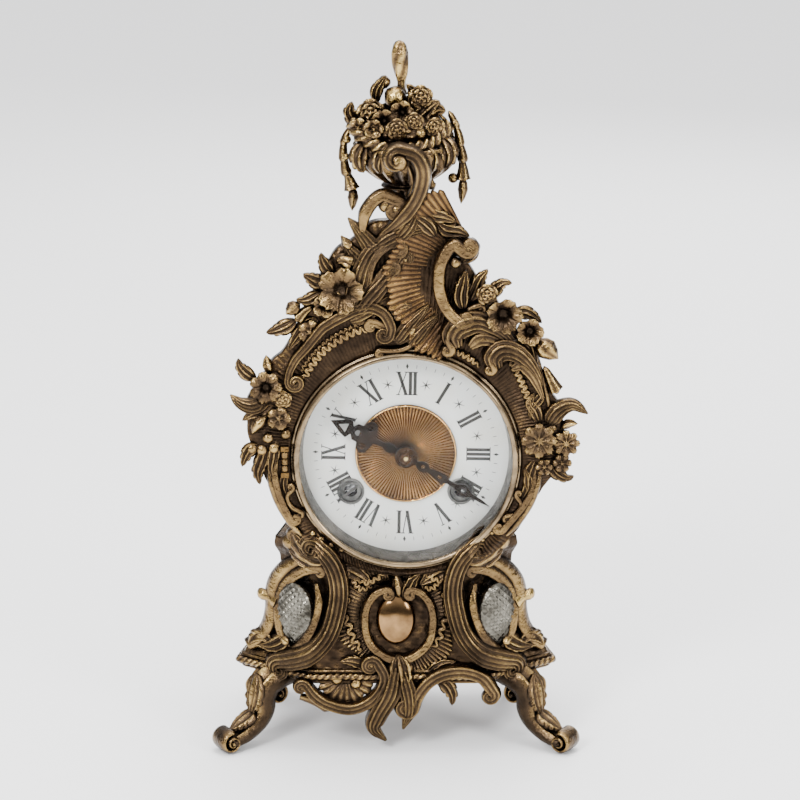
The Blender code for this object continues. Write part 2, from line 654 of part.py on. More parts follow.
def build_back_door(dial):
    """The round door that closes the drum behind, with its knob and hinge."""
    knuckle = HINGE_KNUCKLE
    axis = (DRUM_RADIUS + knuckle + 0.0006, DOOR_FRONT + DOOR_THICK + knuckle * 0.4, 0.0)
    hinge = empty("back_door_axis", axis, dial)
    back = (-axis[0], -axis[1], 0.0)
    radius = DRUM_RADIUS - 0.0010
    front, rear = DOOR_FRONT, DOOR_FRONT + DOOR_THICK
    vents = [circle(0.0032, 10, polar(radius * 0.55, a)) for a in range(30, 360, 60)]
    parts = [column(circle(radius, 48), front, rear)] + [column(v, front, rear) for v in vents]
    knob = (-radius * 0.86, 0.0)
    stem, head, end = 0.0022, 0.0048, 0.0040
    parts += [[(rear, circle(stem, 12, knob)), (rear + 0.0040, circle(stem, 12, knob))],
              [(rear + 0.0040, circle(head, 12, knob)), (rear + 0.0070, circle(end, 12, knob))]]
    door = columns("back_door", parts, "dark_brass", parent=hinge, at=back)
    low, high = front - axis[1] + INSET, rear - axis[1] - INSET
    near, far = -(HINGE_PIN + GAP + 0.0003), -knuckle - 0.0040
    add_knuckle(door, "door", [(far, low), (near, low), (near, high), (far, high)], "dark_brass", hinge)
    inside = DRUM_RADIUS + GAP - axis[0]
    deep, shallow = -0.0100, -0.0040
    lug = [(inside, deep), (knuckle, deep), (knuckle, knuckle), (inside, knuckle)]
    leaf = [(inside + INSET, deep + INSET), (knuckle - INSET, deep + INSET),
            (knuckle - INSET, shallow), (inside + INSET, shallow)]
    columns("back_hinge", hinge_parts(lug, leaf), "dark_brass", "Z", parent=hinge)


# ---------------------------------------------------------------- dial and hands
def hand_outline(half):
    """A hand from its half widths: (along, half width), mirrored about its length."""
    right = [(w, along) for along, w in half if w > 0]
    tip = [(0.0, along) for along, w in half if w == 0]
    return right + tip + [(-u, v) for u, v in reversed(right)]


def build_dial(dial):
    """The enamelled dial on its feet, the engine-turned centre and the two winding grommets."""
    squares = [(-WINDING_X, WINDING_Z), (WINDING_X, WINDING_Z)]
    tube = GROMMET_BORE + 0.0005
    holes = [circle(tube + GAP, 20, at) for at in squares] + [circle(HOUR_PIPE + 0.0008, 16)]
    feet = [polar(0.0440, a) for a in (28, 152, 270)]
    foot_end = PLATE_FRONT - GAP
    parts = [column(circle(DIAL_RADIUS, 40), DIAL_FRONT, DIAL_BACK)]
    parts += [column(h, DIAL_FRONT, DIAL_BACK) for h in holes]
    parts += [column(circle(0.0012, 8, at), DIAL_BACK, foot_end) for at in feet]
    columns("dial", parts, "enamel", parent=dial)

    front = DIAL_FRONT - GAP
    r = CENTRE_DISC_RADIUS
    bore = HOUR_PIPE + 0.0008
    disc = [(r, front), (bore, front), (bore, front - 0.0005), (r - 0.0016, front - 0.0005),
            (r - 0.0010, front - 0.0014), (r, front - 0.0010)]
    turned("dial_centre_disc", disc, "copper_gilt", steps=32, parent=dial)
    ring = [(GROMMET_BORE, front - 0.0010), (GROMMET_BORE, DIAL_BACK + 0.0008), (tube, DIAL_BACK + 0.0008),
            (tube, front), (GROMMET_RADIUS, front), (GROMMET_RADIUS, front - 0.0006),
            (GROMMET_RADIUS - 0.0006, front - 0.0010)]
    for side, (x, z) in zip(("left", "right"), squares):
        turned(f"winding_grommet_{side}", ring, "steel", steps=18, parent=dial, at=(x, 0.0, z))


def build_hands(dial):
    """The two pierced hands on their pipes and the nut that holds them."""
    s = HOUR_LENGTH
    hour = [(0.0, 0.0056), (0.0040, 0.0036), (0.14 * s, 0.0014), (0.19 * s, 0.0026), (0.24 * s, 0.0028),
            (0.30 * s, 0.0013), (0.42 * s, 0.0018),
            (0.46 * s, 0.0086), (0.52 * s, 0.0100), (0.58 * s, 0.0088), (0.61 * s, 0.0052),
            (0.68 * s, 0.0050),
            (0.72 * s, 0.0022), (0.76 * s, 0.0056), (0.84 * s, 0.0042), (s, 0.0)]
    pierced = [circle(0.0022, 8, (0.0060, 0.53 * s)), circle(0.0022, 8, (-0.0060, 0.53 * s)),
               circle(0.0019, 8, (0.0, 0.64 * s)), [(0.0030, 0.785 * s), (0.0, 0.90 * s),
                                                    (-0.0030, 0.785 * s)]]
    gap = 0.0006
    hour_back = DIAL_FRONT - 0.0036
    hour_front = hour_back - HAND_THICK
    ring = circle(HOUR_PIPE + GAP, 16)
    tail = [(-0.0040, 0.0036), (-0.0056, 0.0010)]
    parts = [column(hand_outline(tail[::-1] + hour), hour_front, hour_back),
             column(ring, hour_front, hour_back)]
    parts += [column(h, hour_front, hour_back) for h in pierced]
    turn = (0.0, math.radians(HOUR_ANGLE), 0.0)
    columns("hour_hand", parts, "blued_steel", parent=dial, turn=turn)

    m = MINUTE_LENGTH
    minute = [(-0.0052, 0.0010), (-0.0036, 0.0036), (0.0, 0.0050), (0.0036, 0.0034), (0.13 * m, 0.0012),
              (0.18 * m, 0.0030), (0.23 * m, 0.0032), (0.28 * m, 0.0012), (0.36 * m, 0.0026),
              (0.44 * m, 0.0030),
              (0.50 * m, 0.0013), (0.60 * m, 0.0013), (0.66 * m, 0.0034), (0.72 * m, 0.0030),
              (0.77 * m, 0.0011),
              (0.90 * m, 0.0009), (m, 0.0)]
    slots = [circle(0.0013, 8, (0.0, 0.205 * m)), circle(0.0013, 8, (0.0, 0.405 * m)),
             circle(0.0017, 8, (0.0, 0.69 * m))]
    minute_back = hour_front - gap - 0.0010
    minute_front = minute_back - HAND_THICK
    parts = [column(hand_outline(minute), minute_front, minute_back),
             column(circle(CANNON_PIPE + GAP, 14), minute_front, minute_back)]
    parts += [column(h, minute_front, minute_back) for h in slots]
    turn = (0.0, math.radians(MINUTE_ANGLE), 0.0)
    columns("minute_hand", parts, "blued_steel", parent=dial, turn=turn)

    bore = ARBOR + GAP
    start = minute_front - GAP
    end = start - 0.0042
    nut = [(bore, start), (NUT_RADIUS, start), (NUT_RADIUS, start - 0.0014),
           (NUT_RADIUS * 0.78, start - 0.0026),
           (0.0032, end), (bore, end)]
    turned("hand_nut", nut, "bright_brass", steps=20, parent=dial)
    return hour_front, minute_front, end


# ---------------------------------------------------------------- movement
def layout():
    """Where each arbor stands, from the dial's centre."""
    half = PINION_LEAVES / 2
    places = {"centre": (0.0, 0.0), "escape": (0.0, ESCAPE_HEIGHT), "anchor": ANCHOR_AT}
    places["going_barrel"] = (WINDING_X, WINDING_Z)
    places["strike_barrel"] = (-WINDING_X, WINDING_Z)
    first = GREAT_MODULE * (GREAT_TEETH / 2 + half)
    second = INTERMEDIATE_MODULE * (INTERMEDIATE_TEETH / 2 + half)
    places["going_intermediate"] = meet(places["going_barrel"], first, (0.0, 0.0), second, -1)
    places["strike_intermediate"] = meet(places["strike_barrel"], first, (0.0, 0.0), second, 1)
    places["third"] = polar(CENTRE_MODULE * (CENTRE_TEETH / 2 + half), THIRD_ANGLE)
    third = THIRD_MODULE * (THIRD_TEETH / 2 + half)
    fourth = FOURTH_MODULE * (FOURTH_TEETH / 2 + half)
    places["fourth"] = meet(places["third"], third, places["escape"], fourth, -1)
    places["pin"] = shifted(places["strike_intermediate"], polar(second, PIN_ANGLE))
    places["warning"] = shifted(places["pin"], polar(third, WARNING_ANGLE))
    last = WARNING_MODULE * (WARNING_TEETH / 2 + half)
    places["fly"] = shifted(places["warning"], polar(last, FLY_ANGLE))
    places["minute"] = (0.0, -CANNON_MODULE * (CANNON_LEAVES + MINUTE_TEETH) / 2)
    places["hammer"] = HAMMER_AT
    return places


def arbor_chain(start, end, stages):
    """Plain arbor between the stages, which are (front, back, outlines) and cover it."""
    parts = []
    at = start
    for front, back, outlines in sorted(stages, key=lambda stage: stage[0]):
        parts.append(column(circle(ARBOR, 8), at, front))
        parts += [column(o, front, back) for o in outlines]
        at = back
    parts.append(column(circle(ARBOR, 8), at, end))
    return parts


def wheel_stage(teeth, module, toward, front, hub=0.0032):
    """A crossed-out wheel as a stage of an arbor."""
    rim = module * (teeth / 2 - 1.15) - 1.6 * module
    return front, front + WHEEL_THICK, [wheel_outline(teeth, module, toward)] + crossings(hub, rim)


def pinion_stage(module, toward, middle, leaves=PINION_LEAVES):
    """A pinion as a stage of an arbor."""
    return middle - PINION_LONG / 2, middle + PINION_LONG / 2, [pinion_outline(leaves, module, toward)]


def build_plates(dial, at):
    """The two plates with a pivot hole for each arbor, and the pillars between them."""
    w, top, low = PLATE_HALF_WIDTH, PLATE_TOP, PLATE_BOTTOM
    cut = 0.0150
    plan = [(-w, -low + cut), (-w + cut, -low), (w - cut, -low), (w, -low + cut), (w, top - cut),
            (w - cut, top), (-w + cut, top), (-w, top - cut)]
    through = ["going_intermediate", "strike_intermediate", "third", "fourth", "escape", "pin", "warning",
               "fly"]
    squares = ["going_barrel", "strike_barrel"]
    small = [circle(PIVOT_HOLE, 8, at[name]) for name in through + ["anchor", "hammer"]]
    big = [circle(0.0030 + GAP, 12, at[name]) for name in squares]
    front_holes = small + big + [circle(PIVOT_HOLE, 8, at["centre"]), circle(PIVOT_HOLE, 8, at["minute"])]
    back_holes = small + big + [circle(PIVOT_HOLE, 8, at["centre"])]
    for name, holes, front in (("front_plate", front_holes, PLATE_FRONT),
                               ("back_plate", back_holes, BACK_INNER)):
        parts = [column(plan, front, front + PLATE_THICK)]
        parts += [column(h, front, front + PLATE_THICK) for h in holes]
        columns(name, parts, "bright_brass", parent=dial)
    ends = (PLATE_INNER + GAP, BACK_INNER - GAP)
    for name, (x, z) in PILLARS.items():
        length = ends[1] - ends[0]
        waist = [(ends[0], circle(PILLAR_RADIUS, 10)), (ends[0] + 0.12 * length, circle(PILLAR_RADIUS, 10)),
                 (ends[0] + 0.18 * length, circle(PILLAR_RADIUS * 0.66, 10)),
                 (ends[0] + 0.82 * length, circle(PILLAR_RADIUS * 0.66, 10)),
                 (ends[0] + 0.88 * length, circle(PILLAR_RADIUS, 10)), (ends[1], circle(PILLAR_RADIUS, 10))]
        columns(f"pillar_{name}", [waist], "bright_brass", parent=dial, at=(x, 0.0, z))
    front = PLATE_FRONT - GAP
    outer, inner, thick = DRUM_INSIDE - GAP, 0.0580, 0.0018
    ring = [(outer, front), (inner, front), (inner, front - thick), (outer, front - thick)]
    turned("movement_ring", ring, "steel", steps=32, parent=dial)


def spring_outline(inner, outer):
    """A wound mainspring: a strip along an Archimedean spiral."""
    steps = int(SPRING_TURNS * 12)
    line = []
    for k in range(steps + 1):
        a = 2 * math.pi * k / 12
        r = inner + (outer - inner) * k / steps
        line.append((r * math.cos(a), r * math.sin(a), a))
    half = SPRING_STRIP / 2
    outside = [(x + half * math.cos(a), z + half * math.sin(a)) for x, z, a in line]
    inside = [(x - half * math.cos(a), z - half * math.sin(a)) for x, z, a in line]
    return outside + inside[::-1]


def build_barrels(dial, at):
    """Each train's barrel with its great wheel, its mainspring and its winding arbor."""
    start = PLATE_INNER + 0.0014
    lid = 0.0012
    end = start + BARREL_LONG
    core = 0.0030
    for train, hand in (("going", 1), ("strike", -1)):
        where = at[f"{train}_barrel"]
        facing = bearing(where, at[f"{train}_intermediate"])
        place = (where[0], 0.0, where[1])
        bore = circle(core + GAP, 16)
        wall = 0.0012
        great = wheel_outline(GREAT_TEETH, GREAT_MODULE, facing)
        parts = [column(circle(BARREL_RADIUS, 28), start, GREAT_Y),
                 column(great, GREAT_Y, GREAT_Y + WHEEL_THICK),
                 column(bore, end, GREAT_Y + WHEEL_THICK),
                 column(circle(BARREL_RADIUS - wall, 28), start, end)]
        columns(f"{train}_barrel", parts, "bright_brass", parent=dial, at=place)
        outline = spring_outline(core + 0.0018, BARREL_RADIUS - wall - 0.0012)
        columns(f"{train}_mainspring", [column(outline, start + lid, end - GAP)], "steel", parent=dial,
                at=place)
        square = circle(SQUARE_HALF * math.sqrt(2), 4, start=math.pi / 4)
        tip = DIAL_FRONT + SQUARE_RECESS
        ratchet_front = PLATE_FRONT - 0.0026
        ratchet_back = ratchet_front + 0.0013
        saw = saw_outline(RATCHET_TEETH, RATCHET_RADIUS * 0.84, RATCHET_RADIUS,
                          0.06 * hand if hand > 0 else 0.36)
        chain = [column(square, tip, ratchet_front), column(saw, ratchet_front, ratchet_back),
                 column(circle(core, 16), ratchet_back, GREAT_Y + WHEEL_THICK + 0.0006),
                 column(circle(0.0022, 12), GREAT_Y + WHEEL_THICK + 0.0006, BACK_OUTER - 0.0002)]
        columns(f"{train}_winding_arbor", chain, "steel", parent=dial, at=place)
        pivot = shifted(where, (hand * 0.0120, 0.0060))
        click = empty(f"{train}_click_axis", (pivot[0], 0.0, pivot[1]), dial)
        nose = (-hand * 0.0034, -0.0098)
        beak = [(hand * 0.0026, 0.0010), (hand * 0.0020, 0.0024), (-hand * 0.0014, 0.0026),
                (-hand * 0.0024, 0.0),
                (-hand * 0.0006, -0.0050), (nose[0] + hand * 0.0036, nose[1] + 0.0012),
                (nose[0] + hand * 0.0052, nose[1] + 0.0022)]
        parts = [column(beak, ratchet_front, ratchet_back), column(circle(0.0009, 8), ratchet_back,
                                                                   PLATE_FRONT - GAP)]
        columns(f"{train}_click", parts, "steel", parent=click)


def build_going_train(dial, at):
    """The wheels from the barrel to the escape wheel."""
    start, end = PLATE_FRONT + 0.0002, BACK_OUTER - 0.0002

    def place(name):
        return {"parent": dial, "at": (at[name][0], 0.0, at[name][1])}

    def facing(name, other):
        return bearing(at[name], at[other])

    middle = GREAT_Y + WHEEL_THICK / 2
    for train in ("going", "strike"):
        name = f"{train}_intermediate"
        driven = "centre" if train == "going" else "pin"
        layer = INTERMEDIATE_Y if train == "going" else STRIKE_INTERMEDIATE_Y
        stages = [pinion_stage(GREAT_MODULE, facing(name, f"{train}_barrel"), middle),
                  wheel_stage(INTERMEDIATE_TEETH, INTERMEDIATE_MODULE, facing(name, driven), layer)]
        columns(f"{name}_wheel", arbor_chain(start, end, stages), "bright_brass", **place(name))
    layer = INTERMEDIATE_Y + WHEEL_THICK / 2
    stages = [wheel_stage(CENTRE_TEETH, CENTRE_MODULE, facing("centre", "third"), CENTRE_Y),
              pinion_stage(INTERMEDIATE_MODULE, facing("centre", "going_intermediate"), layer)]
    columns("centre_wheel", arbor_chain(ARBOR_END, end, stages), "bright_brass", **place("centre"))
    stages = [pinion_stage(CENTRE_MODULE, facing("third", "centre"), CENTRE_Y + WHEEL_THICK / 2),
              wheel_stage(THIRD_TEETH, THIRD_MODULE, facing("third", "fourth"), THIRD_Y)]
    columns("third_wheel", arbor_chain(start, end, stages), "bright_brass", **place("third"))
    stages = [pinion_stage(THIRD_MODULE, facing("fourth", "third"), THIRD_Y + WHEEL_THICK / 2),
              wheel_stage(FOURTH_TEETH, FOURTH_MODULE, facing("fourth", "escape"), FOURTH_Y)]
    columns("fourth_wheel", arbor_chain(start, end, stages), "bright_brass", **place("fourth"))
    saw = saw_outline(ESCAPE_TEETH, ESCAPE_RADIUS * 0.80, ESCAPE_RADIUS, 0.10)
    stages = [pinion_stage(FOURTH_MODULE, facing("escape", "fourth"), FOURTH_Y + WHEEL_THICK / 2),
              (ESCAPE_Y, ESCAPE_Y + WHEEL_THICK, [saw] + crossings(0.0026, ESCAPE_RADIUS * 0.66))]
    columns("escape_wheel", arbor_chain(start, end, stages), "bright_brass", **place("escape"))


def build_motion_work(dial, at):
    """The cannon pinion, minute wheel and hour wheel between the front plate and the dial."""
    toward = -math.pi / 2
    back = CANNON_Y + 0.0015
    cannon = pinion_outline(CANNON_LEAVES, CANNON_MODULE, toward)
    bore = circle(ARBOR + GAP, 12)
    pipe = circle(CANNON_PIPE, 14)
    parts = [column(cannon, CANNON_Y, back), column(pipe, MINUTE_FRONT - 0.0002, CANNON_Y),
             column(bore, MINUTE_FRONT - 0.0002, back)]
    columns("cannon_pinion", parts, "bright_brass", parent=dial)
    up = math.pi / 2
    module = CANNON_MODULE * (CANNON_LEAVES + MINUTE_TEETH) / (MINUTE_LEAVES + HOUR_TEETH)
    minute = wheel_outline(MINUTE_TEETH, CANNON_MODULE, up)
    small = pinion_outline(MINUTE_LEAVES, module, up)
    front = HOUR_Y - 0.0004
    parts = [column(small, front, CANNON_Y), column(minute, CANNON_Y, back),
             column(circle(ARBOR, 8), back, PLATE_INNER - 0.0002)]
    columns("minute_wheel", parts, "bright_brass", parent=dial, at=(at["minute"][0], 0.0, at["minute"][1]))
    hour = wheel_outline(HOUR_TEETH, module, toward)
    inner = circle(CANNON_PIPE + GAP, 14)
    parts = [column(hour, HOUR_Y, HOUR_Y + WHEEL_THICK),
             column(circle(HOUR_PIPE, 16), HOUR_FRONT - 0.0002, HOUR_Y),
             column(inner, HOUR_FRONT - 0.0002, HOUR_Y + WHEEL_THICK)]
    columns("hour_wheel", parts, "bright_brass", parent=dial)


def build_strike_train(dial, at):
    """The pin wheel, warning wheel, fly and hammer."""
    start, end = PLATE_FRONT + 0.0002, BACK_OUTER - 0.0002

    def place(name):
        return {"parent": dial, "at": (at[name][0], 0.0, at[name][1])}

    def facing(name, other):
        return bearing(at[name], at[other])

    layer = STRIKE_INTERMEDIATE_Y + WHEEL_THICK / 2
    wheel = wheel_stage(THIRD_TEETH, THIRD_MODULE, facing("pin", "warning"), THIRD_Y)
    stages = [wheel, pinion_stage(INTERMEDIATE_MODULE, facing("pin", "strike_intermediate"), layer)]
    parts = arbor_chain(start, end, stages)
    pin_end = THIRD_Y - 0.0028
    lift = 0.0112
    parts += [column(circle(0.0006, 6, polar(lift, a)), pin_end, THIRD_Y) for a in range(0, 360, 45)]
    columns("pin_wheel", parts, "bright_brass", **place("pin"))
    stages = [pinion_stage(THIRD_MODULE, facing("warning", "pin"), THIRD_Y + WHEEL_THICK / 2),
              wheel_stage(WARNING_TEETH, WARNING_MODULE, facing("warning", "fly"), FOURTH_Y, 0.0026)]
    columns("warning_wheel", arbor_chain(start, end, stages), "bright_brass", **place("warning"))
    vane = 0.0058
    blade = [(-vane, -0.0004), (-0.0014, -0.0014), (0.0, -0.0016), (0.0014, -0.0014), (vane, -0.0004),
             (vane, 0.0004), (0.0014, 0.0014), (0.0, 0.0016), (-0.0014, 0.0014), (-vane, 0.0004)]
    stages = [(PLATE_INNER + 0.0030, PLATE_INNER + 0.0130, [blade]),
              pinion_stage(WARNING_MODULE, facing("fly", "warning"), FOURTH_Y + WHEEL_THICK / 2)]
    columns("fly", arbor_chain(start, end, stages), "bright_brass", **place("fly"))

    reach = math.hypot(at["pin"][0] - at["hammer"][0], at["pin"][1] - at["hammer"][1])
    tail_reach = reach - lift - 0.0006 - 2 * RUN - 0.0014
    aim = bearing(at["hammer"], at["pin"])
    tail = capsule((0.0, 0.0), (tail_reach * math.cos(aim), tail_reach * math.sin(aim)), 0.0014)
    arm_end = polar(HAMMER_ARM, HAMMER_LEAN)
    arm = capsule((0.0, 0.0), arm_end, 0.0018)
    arm_front = BACK_OUTER + 0.0010
    head = 0.0030
    parts = arbor_chain(start, arm_front, [(pin_end, THIRD_Y - 0.0006, [tail])])
    parts += [column(arm, arm_front, arm_front + 0.0014),
              [(arm_front + 0.0014, circle(0.0015, 10, arm_end)),
               (BELL_MOUTH - 0.0030, circle(0.0015, 10, arm_end))],
              [(BELL_MOUTH - 0.0030, circle(head, 10, arm_end)),
               (BELL_MOUTH + 0.0040, circle(head, 10, arm_end))]]
    columns("hammer", parts, "steel", **place("hammer"))


def build_escapement(dial, at):
    """The anchor with its crutch, and the pendulum on its cock."""
    x, z = at["anchor"]
    axis = empty("pendulum_axis", (x, 0.0, z), dial)
    clear = ESCAPE_RADIUS + 0.0013
    touch = math.acos(clear / ANCHOR_RISE)
    out_u, out_v = clear * math.sin(touch), -ANCHOR_RISE + clear * math.cos(touch)
    half = [(0.0, 0.0030), (0.0026, 0.0020), (out_u + 0.0018, out_v + 0.0034),
            (out_u + 0.0030, out_v - 0.0016),
            (out_u + 0.0016, out_v - 0.0016), (out_u, out_v + 0.0002), (0.0022, -0.0024), (0.0, -0.0028)]
    body = half + [(-u, v) for u, v in reversed(half[1:-1])]
    crutch_front = BACK_OUTER + 0.0010
    crutch_back = crutch_front + 0.0010
    crutch = 0.0240
    bar = [(-0.0034, -crutch - 0.0012), (0.0034, -crutch - 0.0012), (0.0034, -crutch + 0.0012),
           (0.0010, -crutch + 0.0020), (0.0014, 0.0016), (-0.0014, 0.0016), (-0.0010, -crutch + 0.0020),
           (-0.0034, -crutch + 0.0012)]
    prongs = [circle(0.0006, 6, (s * (ROD_THICK / 2 + 0.0010), -crutch)) for s in (-1, 1)]
    parts = arbor_chain(PLATE_FRONT + 0.0002, crutch_front, [(ESCAPE_Y - 0.0003, ESCAPE_Y + 0.0017, [body])])
    parts += [column(bar, crutch_front, crutch_back)] + [column(p, crutch_back,
                                                                ROD_BACK + 0.0006) for p in prongs]
    columns("anchor", parts, "steel", parent=axis)

    half_rod = ROD_THICK / 2
    head = 0.0034
    low = PENDULUM_LENGTH + BOB_RADIUS + 0.0055
    rod = [(-0.0016, head), (-0.0016, 0.0010), (-half_rod, -0.0020), (-half_rod, -low), (half_rod, -low),
           (half_rod, -0.0020), (0.0016, 0.0010), (0.0016, head)]
    columns("pendulum_rod", [column(rod, ROD_FRONT, ROD_BACK)], "steel", parent=axis)
    bob_front = ROD_BACK + GAP
    lens = [(0.0, bob_front), (0.80 * BOB_RADIUS, bob_front), (BOB_RADIUS, bob_front + 0.35 * BOB_THICK),
            (0.72 * BOB_RADIUS, bob_front + 0.85 * BOB_THICK), (0.0, bob_front + BOB_THICK)]
    turned("pendulum_bob", lens, "bright_brass", steps=28, parent=axis, at=(0.0, 0.0, -PENDULUM_LENGTH))
    middle = (ROD_FRONT + ROD_BACK) / 2
    bore = half_rod * math.sqrt(2) + GAP
    nut_top = -PENDULUM_LENGTH - BOB_RADIUS - 0.0006
    nut = [(bore, nut_top), (0.0032, nut_top), (0.0032, nut_top - 0.0022), (bore, nut_top - 0.0022)]
    turned("rating_nut", nut, "bright_brass", "Z", 16, parent=axis, at=(0.0, middle, 0.0))

    foot = z + 0.0070
    block_low = z + head + RUN
    post = circle(0.0026, 12, (0.0, foot))
    block = [(-0.0045, block_low), (0.0045, block_low), (0.0045, foot + 0.0034), (-0.0045, foot + 0.0034)]
    columns("suspension_cock", [column(post, BACK_OUTER + GAP, ROD_FRONT - 0.0012),
                                column(block, ROD_FRONT - 0.0012, ROD_BACK + 0.0012)], "bright_brass",
                                parent=dial)


def build_bell(dial):
    """The bell on its stand behind the movement."""
    r, w = BELL_RADIUS, BELL_WALL
    curve = [(math.sin(a), 1 - math.cos(a)) for a in (math.radians(d) for d in (0, 30, 60, 90))]
    stud = 0.0016
    out = [(max(r * s, stud + GAP), BELL_MOUTH + BELL_DEPTH * (1 - c)) for s, c in curve]
    inside = [(max((r - w) * s, stud + GAP), BELL_MOUTH + (BELL_DEPTH - w) * (1 - c)) for s, c in curve]
    turned("bell", out + inside[::-1], "bright_brass", steps=28, parent=dial, at=(0.0, 0.0, BELL_Z))
    foot_at = (0.0250, -0.0300 - BELL_Z)
    arm = capsule(foot_at, (0.0, 0.0), 0.0030)
    arm_front = ROD_BACK + 0.0009
    parts = [column(circle(0.0024, 10, foot_at), BACK_OUTER + GAP, arm_front),
             column(arm, arm_front, arm_front + 0.0020),
             [(arm_front + 0.0020, circle(stud, 10)), (BELL_MOUTH + BELL_DEPTH + GAP, circle(stud, 10))],
             [(BELL_MOUTH + BELL_DEPTH + GAP, circle(0.0030, 10)),
              (BELL_MOUTH + BELL_DEPTH + 0.0024, circle(0.0030, 10))]]
    columns("bell_stand", parts, "steel", parent=dial, at=(0.0, 0.0, BELL_Z))


for old in list(bpy.data.objects):
    bpy.data.objects.remove(old, do_unlink=True)

base_frame = empty("base_frame", (BASE_X, 0.0, 0.0))
dial_frame = empty("dial_frame", (DIAL_X, 0.0, DIAL_HEIGHT))
build_base(base_frame)
build_feet(base_frame)
build_drum(dial_frame)
build_urn(dial_frame)
build_bezel(dial_frame)
build_back_door(dial_frame)
build_dial(dial_frame)
HOUR_FRONT, MINUTE_FRONT, ARBOR_END = build_hands(dial_frame)
arbors = layout()
build_plates(dial_frame, arbors)
build_barrels(dial_frame, arbors)
build_going_train(dial_frame, arbors)
build_motion_work(dial_frame, arbors)
build_strike_train(dial_frame, arbors)
build_escapement(dial_frame, arbors)
build_bell(dial_frame)
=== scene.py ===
import math
import bpy
import numpy as np
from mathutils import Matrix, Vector


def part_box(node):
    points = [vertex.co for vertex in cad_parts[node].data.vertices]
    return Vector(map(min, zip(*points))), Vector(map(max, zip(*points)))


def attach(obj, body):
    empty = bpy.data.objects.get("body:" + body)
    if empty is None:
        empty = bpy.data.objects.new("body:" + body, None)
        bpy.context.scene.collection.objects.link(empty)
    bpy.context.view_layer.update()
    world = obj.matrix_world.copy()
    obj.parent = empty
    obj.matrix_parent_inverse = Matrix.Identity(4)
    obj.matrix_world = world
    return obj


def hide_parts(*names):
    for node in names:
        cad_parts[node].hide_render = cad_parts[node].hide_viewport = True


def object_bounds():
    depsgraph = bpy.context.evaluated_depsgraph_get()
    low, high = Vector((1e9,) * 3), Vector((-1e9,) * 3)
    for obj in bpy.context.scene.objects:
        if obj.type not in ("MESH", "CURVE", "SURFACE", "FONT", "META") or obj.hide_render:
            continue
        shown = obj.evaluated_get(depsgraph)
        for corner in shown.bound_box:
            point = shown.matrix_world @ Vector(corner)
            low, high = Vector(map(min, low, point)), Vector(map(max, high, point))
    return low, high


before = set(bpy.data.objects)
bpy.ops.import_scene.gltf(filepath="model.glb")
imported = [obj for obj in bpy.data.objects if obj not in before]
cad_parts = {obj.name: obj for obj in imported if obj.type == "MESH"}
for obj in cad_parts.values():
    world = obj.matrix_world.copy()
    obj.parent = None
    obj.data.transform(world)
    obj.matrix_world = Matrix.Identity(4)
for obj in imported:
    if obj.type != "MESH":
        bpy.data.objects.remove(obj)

cadLow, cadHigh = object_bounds()
tau = 2 * math.pi
dialLow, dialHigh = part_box("dial")
dialAxis = ((dialLow.x + dialHigh.x) / 2, (dialLow.z + dialHigh.z) / 2)   # the dial's middle, x and z
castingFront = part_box("front_casting")[0].y
baseLow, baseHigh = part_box("base_casting")
baseMiddle = (baseLow.x + baseHigh.x) / 2
print("frame in", len(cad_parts), "nodes")


# ---- surfaces on grids: a skin is (points, four-cornered faces, tone), lengths in mm until they are placed
def smoothPath(points, count=48):
    # a Catmull-Rom curve through the points, then cut at even steps of its length
    p = np.asarray(points, float)
    if p.shape[1] == 2:
        p = np.column_stack([p, np.zeros(len(p))])
    p = np.vstack([2 * p[0] - p[1], p, 2 * p[-1] - p[-2]])
    t = np.linspace(0, len(p) - 3, 14 * (len(p) - 3) + 1)
    k = np.minimum(t.astype(int), len(p) - 4)
    f = (t - k)[:, None]
    a, b, c, d = p[k], p[k + 1], p[k + 2], p[k + 3]
    q = 0.5 * (2 * b + (c - a) * f + (2 * a - 5 * b + 4 * c - d) * f**2 + (3 * b - a - 3 * c + d) * f**3)
    run = np.concatenate([[0], np.cumsum(np.linalg.norm(np.diff(q, axis=0), axis=1))])
    even = np.linspace(0, run[-1], count)
    return np.column_stack([np.interp(even, run, q[:, i]) for i in range(3)])


def withCurl(path, curl, atStart=False):
    # a spiral added to the path's end: it leaves along the path and its radius shrinks evenly to a fifth
    radius, turns, side = curl
    p = path[::-1] if atStart else path
    ahead = p[-1] - p[-3]
    ahead = np.array([ahead[0], ahead[1], 0.0]) / np.hypot(ahead[0], ahead[1])
    across = np.array([-ahead[1], ahead[0], 0.0]) * side
    a = np.linspace(0, tau * turns, max(6, int(26 * turns)))[1:, None]
    r = radius * (1 - 0.8 * a / a[-1])
    middle = p[-1] + across * radius
    coil = middle - across * r * np.cos(a) + ahead * r * np.sin(a)
    coil[:, 2] += radius * 0.28 * (a / a[-1])[:, 0]
    joined = np.vstack([p, coil])
    return joined[::-1] if atStart else joined


def sideways(path):
    # the unit direction to the left of the path, in the panel
    ahead = np.gradient(path[:, :2], axis=0)
    ahead /= np.linalg.norm(ahead, axis=1)[:, None] + 1e-9
    return np.column_stack([-ahead[:, 1], ahead[:, 0], np.zeros(len(path))])


